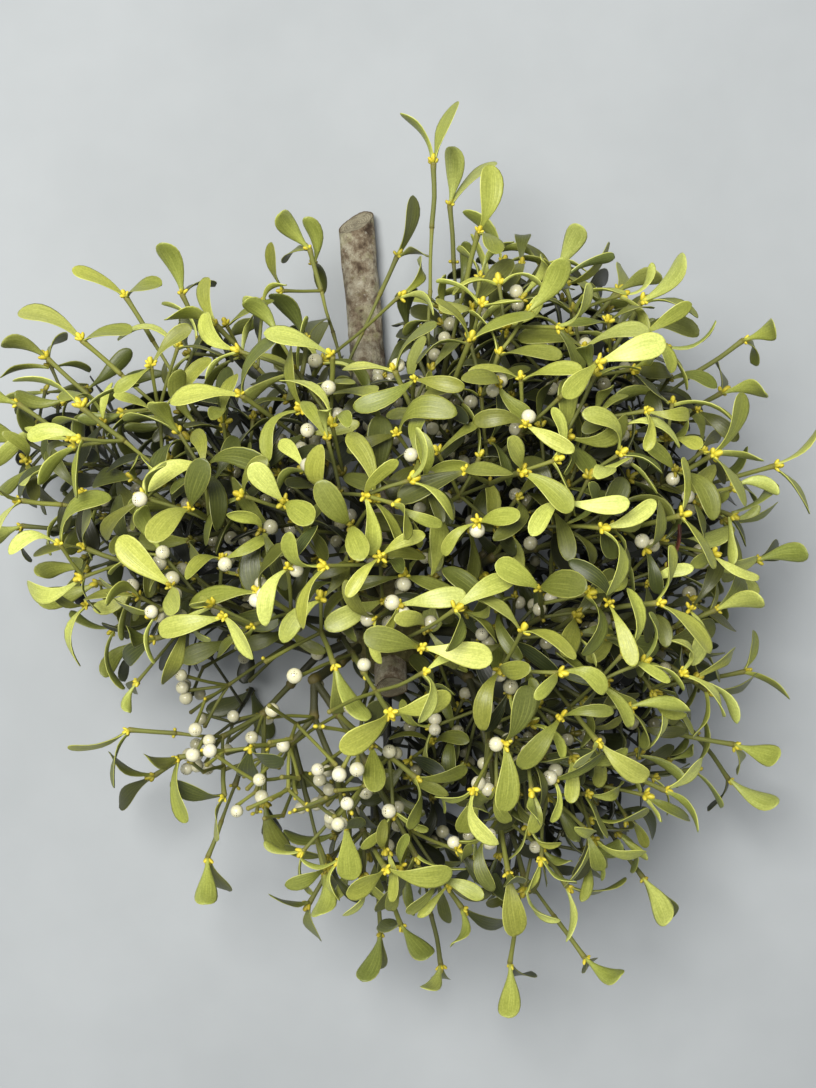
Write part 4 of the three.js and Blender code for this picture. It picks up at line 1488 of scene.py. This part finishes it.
def leaf_material():
    m = Nodes("mistletoe_leaf", 0.42, 0.5, 0.06, 0.001)
    shade, warmth, top = m.split(m.tint())
    u, v, _ = m.split(m.place())
    # shade picks the green: partly at random and partly painted light, lighter where more light
    # from above falls
    upper = m.ramp(shade, [
        (0.0, srgb(64, 77, 37)),
        (0.3, srgb(109, 119, 51)),
        (0.6, srgb(155, 162, 69)),
        (0.85, srgb(193, 199, 92)),
        (1.0, srgb(216, 222, 122)),
    ])
    yellowed = m.stain(upper, warmth, 0.35, 188, 182, 74)
    lower = m.mix(0.35, yellowed, srgb(150, 162, 92))
    base = m.mix(m.steps(top, 0.35, 0.65), lower, yellowed)
    darker = m.mix(1.0, base, srgb(186, 192, 160), "MULTIPLY")
    base = m.mix(m.times(m.steps(m.noise(900, 4), 0.35, 0.7), 0.5), base, darker)
    streaks = m.noise(2.2, 4, 0.65, m.place(), (14, 1, 1))
    base = m.mix(m.times(m.steps(streaks, 0.4, 0.68), 0.65), base, darker)
    across_leaf = m.maths("ABSOLUTE", m.maths("SUBTRACT", m.times(u, 2), 1))
    veins = None
    for place, width in ((0.0, 0.05), (0.36, 0.035), (0.68, 0.03)):
        gap = m.maths("ABSOLUTE", m.maths("SUBTRACT", across_leaf, place))
        vein = m.maths("SUBTRACT", 1, m.steps(gap, 0, width * 2))
        veins = vein if veins is None else m.maths("MAXIMUM", veins, vein)
    veins = m.maths("MULTIPLY", veins, m.steps(v, 0.95, 0.6))
    base = m.stain(base, veins, 0.16, 196, 202, 96)
    foot = m.steps(v, 0.16, 0.02)
    base = m.stain(base, foot, 0.7, 188, 190, 84)
    rim = m.steps(across_leaf, 0.9, 0.98)
    base = m.stain(base, rim, 0.85, 216, 218, 110)
    specks = m.steps(m.noise(2600, 1), 0.74, 0.78)
    base = m.stain(base, specks, 0.5, 96, 86, 44)
    m.colour(base)
    m.rough(m.maths("ADD", 0.36, m.times(m.noise(500, 3), 0.16)))
    m.bump(m.maths("ADD", m.times(veins, -0.25), m.times(streaks, 0.5)), 0.0003, 0.5)
    return m.material


def withered_material():
    m = Nodes("withered_leaf", 0.6, 0.4)
    m.colour(m.mix(m.steps(m.noise(160, 4), 0.35, 0.65), srgb(74, 36, 30), srgb(124, 72, 52)))
    m.bump(m.noise(900, 4), 0.0004, 0.6)
    return m.material


def stem_material():
    m = Nodes("mistletoe_stem", 0.5, 0.4, 0.05, 0.001)
    age_and_shade, shade, ends = m.split(m.tint())
    young = m.mix(shade, srgb(134, 138, 58), srgb(100, 106, 46))
    # The thick inner stems are near black-green: partly as they grow older, partly painted shade,
    # as they stand inside the bunch.
    old_and_shaded = m.mix(shade, srgb(50, 53, 31), srgb(36, 38, 25))
    base = m.mix(m.steps(age_and_shade, 0, 0.7), young, old_and_shaded)
    streaks = m.noise(300, 4, 0.6, m.place(), (8, 1, 1))
    base = m.stain(base, m.steps(streaks, 0.4, 0.7), 0.3, 150, 146, 78)
    base = m.mix(m.maths("MULTIPLY", ends, 0.45, clamp=True), base, srgb(128, 112, 52))
    specks = m.steps(m.noise(1900, 2), 0.66, 0.72)
    base = m.stain(base, specks, 0.4, 82, 74, 44)
    m.colour(base)
    m.rough(m.maths("ADD", 0.42, m.times(m.noise(700, 2), 0.2)))
    m.bump(m.maths("ADD", m.noise(1500, 3), streaks), 0.0003, 0.5)
    return m.material


def bud_material():
    m = Nodes("mistletoe_bud", 0.5, 0.4, 0.2, 0.001)
    _, warmth, _ = m.split(m.tint())
    _, v, _ = m.split(m.place())
    tip = m.mix(warmth, srgb(232, 218, 76), srgb(212, 190, 52))
    base = m.ramp(v, [
        (0.0, srgb(146, 148, 58)),
        (0.3, srgb(192, 184, 58)),
        (1.0, srgb(228, 212, 68)),
    ])
    base = m.mix(m.steps(v, 0.25, 0.8), base, tip)
    base = m.stain(base, m.noise(1800, 2), 0.25, 190, 180, 44)
    m.colour(base)
    m.bump(m.noise(2600, 3), 0.0002, 0.5)
    return m.material


def berry_material():
    m = Nodes("mistletoe_berry", 0.22, 0.5, 0.55, 0.002)
    m.shader.inputs["Subsurface Radius"].default_value = (1, 0.95, 0.7)
    shade, _, _ = m.split(m.tint())
    u, v, _ = m.split(m.place())
    base = m.mix(shade, srgb(236, 231, 206), srgb(222, 217, 184))
    base = m.stain(base, m.noise(260, 2), 0.4, 186, 184, 140)
    four_ways = m.steps(m.maths("COSINE", m.times(u, 8 * math.pi)), 0.6, 0.9)
    star = m.maths("MULTIPLY", four_ways, m.steps(v, 0.955, 0.965))
    ring = m.maths("SUBTRACT", 1, m.steps(v, 0.975, 0.985))
    dots = m.maths("MULTIPLY", star, ring)
    stigma = m.maths("MAXIMUM", m.steps(v, 0.992, 0.997), dots)
    base = m.mix(stigma, base, srgb(70, 56, 34))
    base = m.mix(m.steps(v, 0.06, 0.0), base, srgb(170, 168, 96))
    # a lighter painted shade for the berries
    m.colour(base, (140, 140, 124))
    return m.material


def bark_material():
    m = Nodes("host_bark", 0.85, 0.3)
    coarse = m.noise(110, 6, 0.68)
    base = m.ramp(coarse, [
        (0.32, srgb(70, 56, 42)),
        (0.44, srgb(118, 104, 84)),
        (0.56, srgb(160, 152, 130)),
        (0.75, srgb(196, 190, 172)),
    ])
    lichen = m.steps(m.noise(70, 4, 0.6), 0.52, 0.62)
    base = m.stain(base, lichen, 0.4, 162, 160, 124)
    moss = m.steps(m.noise(150, 5, 0.6), 0.6, 0.7)
    base = m.stain(base, moss, 0.4, 116, 114, 62)
    pale = m.steps(m.noise(210, 3), 0.64, 0.7)
    base = m.stain(base, pale, 0.5, 190, 186, 168)
    specks = m.steps(m.noise(1300, 3), 0.6, 0.7)
    base = m.stain(base, specks, 0.6, 52, 44, 34)
    m.colour(base)
    m.bump(m.maths("ADD", m.noise(420, 6, 0.65), m.times(coarse, 1.5)), 0.0016, 0.8)
    return m.material


def cut_wood_material():
    m = Nodes("cut_wood", 0.8, 0.3)
    _, v, _ = m.split(m.place())
    wobble = m.maths("ADD", v, m.times(m.noise(90, 3), 0.1))
    rings = m.maths("SINE", m.times(wobble, 48))
    base = m.mix(m.steps(rings, -0.4, 0.9), srgb(142, 134, 110), srgb(172, 164, 138))
    rays = m.noise(60, 3, 0.6, m.place(), (9, 0.6, 1))
    base = m.stain(base, m.steps(rays, 0.55, 0.7), 0.5, 112, 98, 72)
    weathered = m.steps(m.noise(150, 5, 0.65), 0.45, 0.6)
    base = m.stain(base, weathered, 0.65, 104, 94, 74)
    base = m.mix(m.steps(v, 0.86, 0.97), base, srgb(92, 78, 56))
    m.colour(base)
    m.bump(m.maths("ADD", rays, m.times(rings, 0.2)), 0.0006, 0.7)
    return m.material


def base_material():
    m = Nodes("mistletoe_base_bark", 0.75, 0.35)
    coarse = m.noise(130, 6, 0.6)
    base = m.ramp(coarse, [
        (0.25, srgb(74, 68, 40)),
        (0.5, srgb(108, 102, 56)),
        (0.75, srgb(136, 130, 72)),
    ])
    base = m.stain(base, m.steps(m.noise(320, 4), 0.55, 0.7), 0.5, 158, 152, 100)
    base = m.stain(base, m.steps(m.noise(900, 3), 0.6, 0.72), 0.6, 56, 48, 32)
    m.colour(base)
    m.bump(m.maths("ADD", m.noise(500, 6, 0.65), coarse), 0.0014, 0.8)
    return m.material


LEAF_LOOK = leaf_material()
STEM_LOOK = stem_material()
BUD_LOOK = bud_material()
BERRY_LOOK = berry_material()
WITHERED_LOOK = withered_material()
BARK_LOOK = bark_material()
CUT_LOOK = cut_wood_material()
BASE_LOOK = base_material()

# ---- The sprays ----

LEAF_PLACE = 0.6  # the light that a leaf gets is measured here, as a share of its length
LEAF_SHADE = [0.05, 0.95]  # painted light: how light the leaves' green is on the whole, from those in the dark to those in the open
LEAF_SHADE_SPREAD = 0.22
FORK_BUDS_BELOW = 3  # stems of this level and thicker ones bear no buds at their forks
FORK_BUDS = 0.7  # share of the other forks that bear them
TWIG_FORK_BUDS = 0.25  # and of those on extra twigs
WITHERED_AT = np.array([138, 3])  # where the withered leaf is, as seen from above


def place_piece(shell, name, material, node_name):
    if shell.count == 0:
        return
    piece = shell.piece(name, material)
    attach(piece, "root")
    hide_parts(node_name)


def away_from_withered(leaf):
    """How far a leaf is from the withered one's place. Low leaves, which are hidden, count more."""
    middle = leaf.root + leaf.reach * 0.5
    shown = middle[:2] * (VIEW_HEIGHT - VIEW_MIDDLE) / (VIEW_HEIGHT - middle[2])
    return reach_of(shown - WITHERED_AT) + 0.25 * max(VIEW_MIDDLE - middle[2], 0)


for node in all_nodes():
    node.light = light_at(node.at)
twig_leaves = [leaf for node in all_nodes() if node.extra for leaf in node.leaves]
withered_leaf = min(twig_leaves, key=away_from_withered)

for number, root in enumerate(roots, 1):
    label = f"{number:02d}"
    spray = f"spray_{label}"
    blades, stems, buds, berries, withered = [Shell() for _ in range(5)]
    for node in every_node(root):
        if node.parent:
            add_stem(stems, node)
            add_node_lump(stems, node)
        for leaf in node.leaves:
            leaf.light = light_at(leaf.root + leaf.reach * LEAF_PLACE)
            # Painted light: the more light from above a leaf gets, the lighter its green, with a
            # random spread.
            shade = rng.normal(between(LEAF_SHADE, leaf.light), LEAF_SHADE_SPREAD)
            leaf.shade = min(max(shade, 0), 1)
            leaf.warmth = rng.random() ** 2
            add_blade(withered if leaf is withered_leaf else blades, leaf)
        if node.leaves:
            add_buds(buds, node)
        elif node.parent and node.level < FORK_BUDS_BELOW:
            if rng.random() < (TWIG_FORK_BUDS if node.extra else FORK_BUDS):
                add_fork_buds(buds, node)
        for berry in node.berries:
            add_berry(berries, berry, node)
    place_piece(blades, f"leaves_{label}", LEAF_LOOK, spray)
    place_piece(stems, f"stems_{label}", STEM_LOOK, spray)
    place_piece(buds, f"buds_{label}", BUD_LOOK, spray)
    place_piece(berries, f"berries_{label}", BERRY_LOOK, spray)
    place_piece(withered, "withered_leaf", WITHERED_LOOK, spray)

# ---- The host branch ----

BARK_TURNS = 72
BARK_ROWS = 150
BARK_LUMP = 0.45  # the most that its lumps stand out
BARK_CRACK = 0.5  # how deep its cracks are
CRACK_WIDTH = 0.12  # as a difference of the noise that they follow
CUT_SHARES = np.array([0.02, 0.15, 0.3, 0.45, 0.6, 0.75, 0.88, 0.96, 1])  # from middle to edge
CUT_HOLLOW = 0.5
CUT_ROUGHNESS = 0.35


def bark_relief(point):
    lump = noise.fractal(Vector(point) * 0.09, 0.8, 2.0, 4)
    crack = abs(noise.noise(Vector((point[0] * 0.5, point[1] * 0.12, point[2] * 0.5))))
    return BARK_LUMP * lump - BARK_CRACK * max(0.0, CRACK_WIDTH - crack) / CRACK_WIDTH


def branch_rings(rows):
    """For each row the middle, the way along the branch and the ring of points."""
    rings = []
    for share in rows:
        middle = branch_axis(share)
        way = way_to(branch_axis(share - 0.01), branch_axis(share + 0.01))
        side = across(np.array([1.0, 0.0, 0.0]), way)
        up = cross3(way, side)
        radius = between([BRANCH_RADIUS, BRANCH_END_RADIUS], share)
        angles = (np.arange(BARK_TURNS) + 0.5) / BARK_TURNS * 2 * math.pi
        ridge = BARK_RIDGES[0] * np.sin(3 * angles + 9 * share)
        distance = radius * (1 + ridge + BARK_RIDGES[1] * np.sin(5 * angles - 31 * share))
        round_ways = np.sin(angles)[:, None] * side - np.cos(angles)[:, None] * up
        ring = middle + distance[:, None] * round_ways
        relief = np.array([bark_relief(point) for point in ring])
        rings.append((middle, way, ring + unit(ring - middle) * relief[:, None]))
    return rings


def build_branch():
    """The bark, open at both ends. The rows near the slanting cut are pushed along to it."""
    shell = Shell()
    rows = np.concatenate([[0], np.linspace(0.006, BRANCH_LAST, BARK_ROWS)])
    made = branch_rings(rows)
    rings = np.array([ring for _, _, ring in made])
    middle, way, first = made[0]
    slants = (middle - first) @ CUT_FACING / (way @ CUT_FACING)
    for i, (share, (_, row_way, _)) in enumerate(zip(rows, made)):
        push = np.maximum(slants - share * BRANCH_LENGTH, 0) if i else slants
        rings[i] = rings[i] + row_way * push[:, None]
    rings[..., 2] = np.maximum(rings[..., 2], 0)
    above = np.array([0, 0, BRANCH_RADIUS])
    lights = np.array([open_sky(middle + above) for middle, _, _ in made])
    places = grid_places(np.arange(BARK_TURNS) / BARK_TURNS, rows)
    shell.add_rings(rings, places, PLAIN_TINT, lights[:, None])
    shell.faces = [face for face in shell.faces if len(face) == 4]
    return shell, rings


def cut_face(ring, inward):
    """A slightly hollow face inside a ring, with v running from its middle to its edge."""
    face = Shell()
    middle = ring.mean(0)
    rows = []
    for share in CUT_SHARES:
        flat = middle + (ring - middle) * share
        rough = np.array([noise.noise(Vector(point) * 0.35) for point in flat])
        sink = CUT_HOLLOW * (1 - share ** 4) + CUT_ROUGHNESS * rough * (1 - share ** 8)
        rows.append(flat + inward * sink[:, None])
    places = grid_places(np.arange(len(ring)) / len(ring), CUT_SHARES)
    face.add_rings(np.array(rows), places, PLAIN_TINT)
    face.faces.pop()
    return face


bark, bark_rings = build_branch()
bark_piece = bark.piece("host_bark", BARK_LOOK)
end_way = way_to(branch_axis(BRANCH_LAST), branch_axis(BRANCH_LAST - 0.02))
upper_face = cut_face(bark_rings[0], -unit(CUT_FACING)).piece("host_cut_upper", CUT_LOOK)
lower_face = cut_face(bark_rings[-1][::-1], end_way).piece("host_cut_lower", CUT_LOOK)
for piece, slot in ((bark_piece, "bark"), (upper_face, "cut_wood"), (lower_face, "cut_wood")):
    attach(piece, "root")
    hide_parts("host_branch")

# ---- The swollen base ----

BASE_ROWS = 90
BASE_TURNS = 120
BASE_SIZE = 0.97  # of BASE_RADIUS
BASE_LUMPS = 0.05
COLLAR_HEIGHT = 2.2  # how far the base swells round each root
COLLAR_SPREAD = 0.03


def build_base():
    shell = Shell()
    slopes = np.linspace(0.01, math.pi - 0.01, BASE_ROWS)
    angles = np.arange(BASE_TURNS) * 2 * math.pi / BASE_TURNS
    along_branch = way_to(BASE, branch_axis(BRANCH_NEAR_BASE))
    side = any_across(along_branch)
    round_ways = circle_ways(side, cross3(along_branch, side), angles)
    ways = np.sin(slopes)[:, None, None] * round_ways - np.cos(slopes)[:, None, None] * along_branch
    limb_ways = np.array([way_to(BASE, root.at) for root in roots])
    rings = np.zeros(ways.shape)
    for i in range(BASE_ROWS):
        for j in range(BASE_TURNS):
            way = ways[i, j]
            lump = noise.fractal(Vector(way) * 2.3, 0.7, 2.0, 5)
            collar = np.exp(-((1 - limb_ways @ way) / COLLAR_SPREAD)).max()
            radius = BASE_RADIUS * (BASE_SIZE + BASE_LUMPS * lump) + COLLAR_HEIGHT * collar
            stretch = along_branch * (way @ along_branch) * BASE_STRETCH
            rings[i, j] = BASE + (way + stretch) * radius
    light = light_at(BASE + np.array([0, 0, BASE_RADIUS]))
    places = grid_places(angles / (2 * math.pi), slopes / math.pi)
    shell.add_rings(rings, places, PLAIN_TINT, light)
    return shell


base_piece = build_base().piece("swollen_base", BASE_LOOK)
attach(base_piece, "root")
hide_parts("mistletoe_base")

# ---- Floor, light and camera ----

# In metres, but for the camera's sensor.
FLOOR_SIZE = 12
FLOOR_HEIGHT = -0.0005  # just below the surface that the part lies on
CAMERA_HEIGHT = VIEW_HEIGHT / MILLIMETRES
CAMERA_UP = 0.0022  # the picture's middle is this far towards +Y from the place of CENTRING
VIEW_SPAN = 0.598  # how much the picture shows from top to bottom, at the height of VIEW_MIDDLE
SENSOR = 36  # in millimetres
CLIP_START = 0.01
LIT_PLACE = (0, 0, 0.1)


def build_floor():
    mesh = bpy.data.meshes.new("floor")
    half = FLOOR_SIZE / 2
    corners = [(x * half, y * half, FLOOR_HEIGHT) for x, y in ((-1, -1), (1, -1), (1, 1), (-1, 1))]
    mesh.from_pydata(corners, [], [(0, 1, 2, 3)])
    m = Nodes("pale_floor", 0.8, 0.3)
    cloud = m.steps(m.noise(3, 5, 0.6), 0.3, 0.7)
    pale = m.mix(cloud, srgb(162, 166, 168), srgb(172, 176, 178))
    m.plug(pale, m.shader.inputs["Base Color"])
    m.bump(m.noise(60, 4), 0.0003, 0.4)
    mesh.materials.append(m.material)
    floor = bpy.data.objects.new("floor", mesh)
    bpy.context.scene.collection.objects.link(floor)


def add_light(name, place, size, power, colour):
    light = bpy.data.lights.new(name, "AREA")
    light.shape = "DISK"
    light.size = size
    light.energy = power
    light.color = colour
    lamp = bpy.data.objects.new(name, light)
    lamp.location = place
    lamp.rotation_euler = (Vector(LIT_PLACE) - Vector(place)).to_track_quat("-Z", "Y").to_euler()
    bpy.context.scene.collection.objects.link(lamp)


def build_camera():
    camera_data = bpy.data.cameras.new("camera")
    camera_data.sensor_width = SENSOR
    depth = CAMERA_HEIGHT - VIEW_MIDDLE / MILLIMETRES
    camera_data.lens = SENSOR * depth / VIEW_SPAN
    camera_data.clip_start = CLIP_START
    camera = bpy.data.objects.new("camera", camera_data)
    middle = CENTRING / MILLIMETRES
    camera.location = (middle[0], middle[1] + CAMERA_UP, CAMERA_HEIGHT)
    bpy.context.scene.collection.objects.link(camera)
    bpy.context.scene.camera = camera


def build_world():
    world = bpy.data.worlds.new("studio")
    world.use_nodes = True
    background = world.node_tree.nodes["Background"]
    background.inputs["Color"].default_value = (0.9, 0.94, 1, 1)
    background.inputs["Strength"].default_value = 0.3
    bpy.context.scene.world = world


bpy.context.scene.view_settings.view_transform = "Standard"
build_floor()
build_world()
build_camera()
add_light("key", place=(-0.38, 0.42, 1.85), size=0.9, power=50, colour=(1, 0.985, 0.95))
add_light("fill", place=(1.2, -0.6, 1.5), size=1.6, power=1.5, colour=(0.96, 0.98, 1))
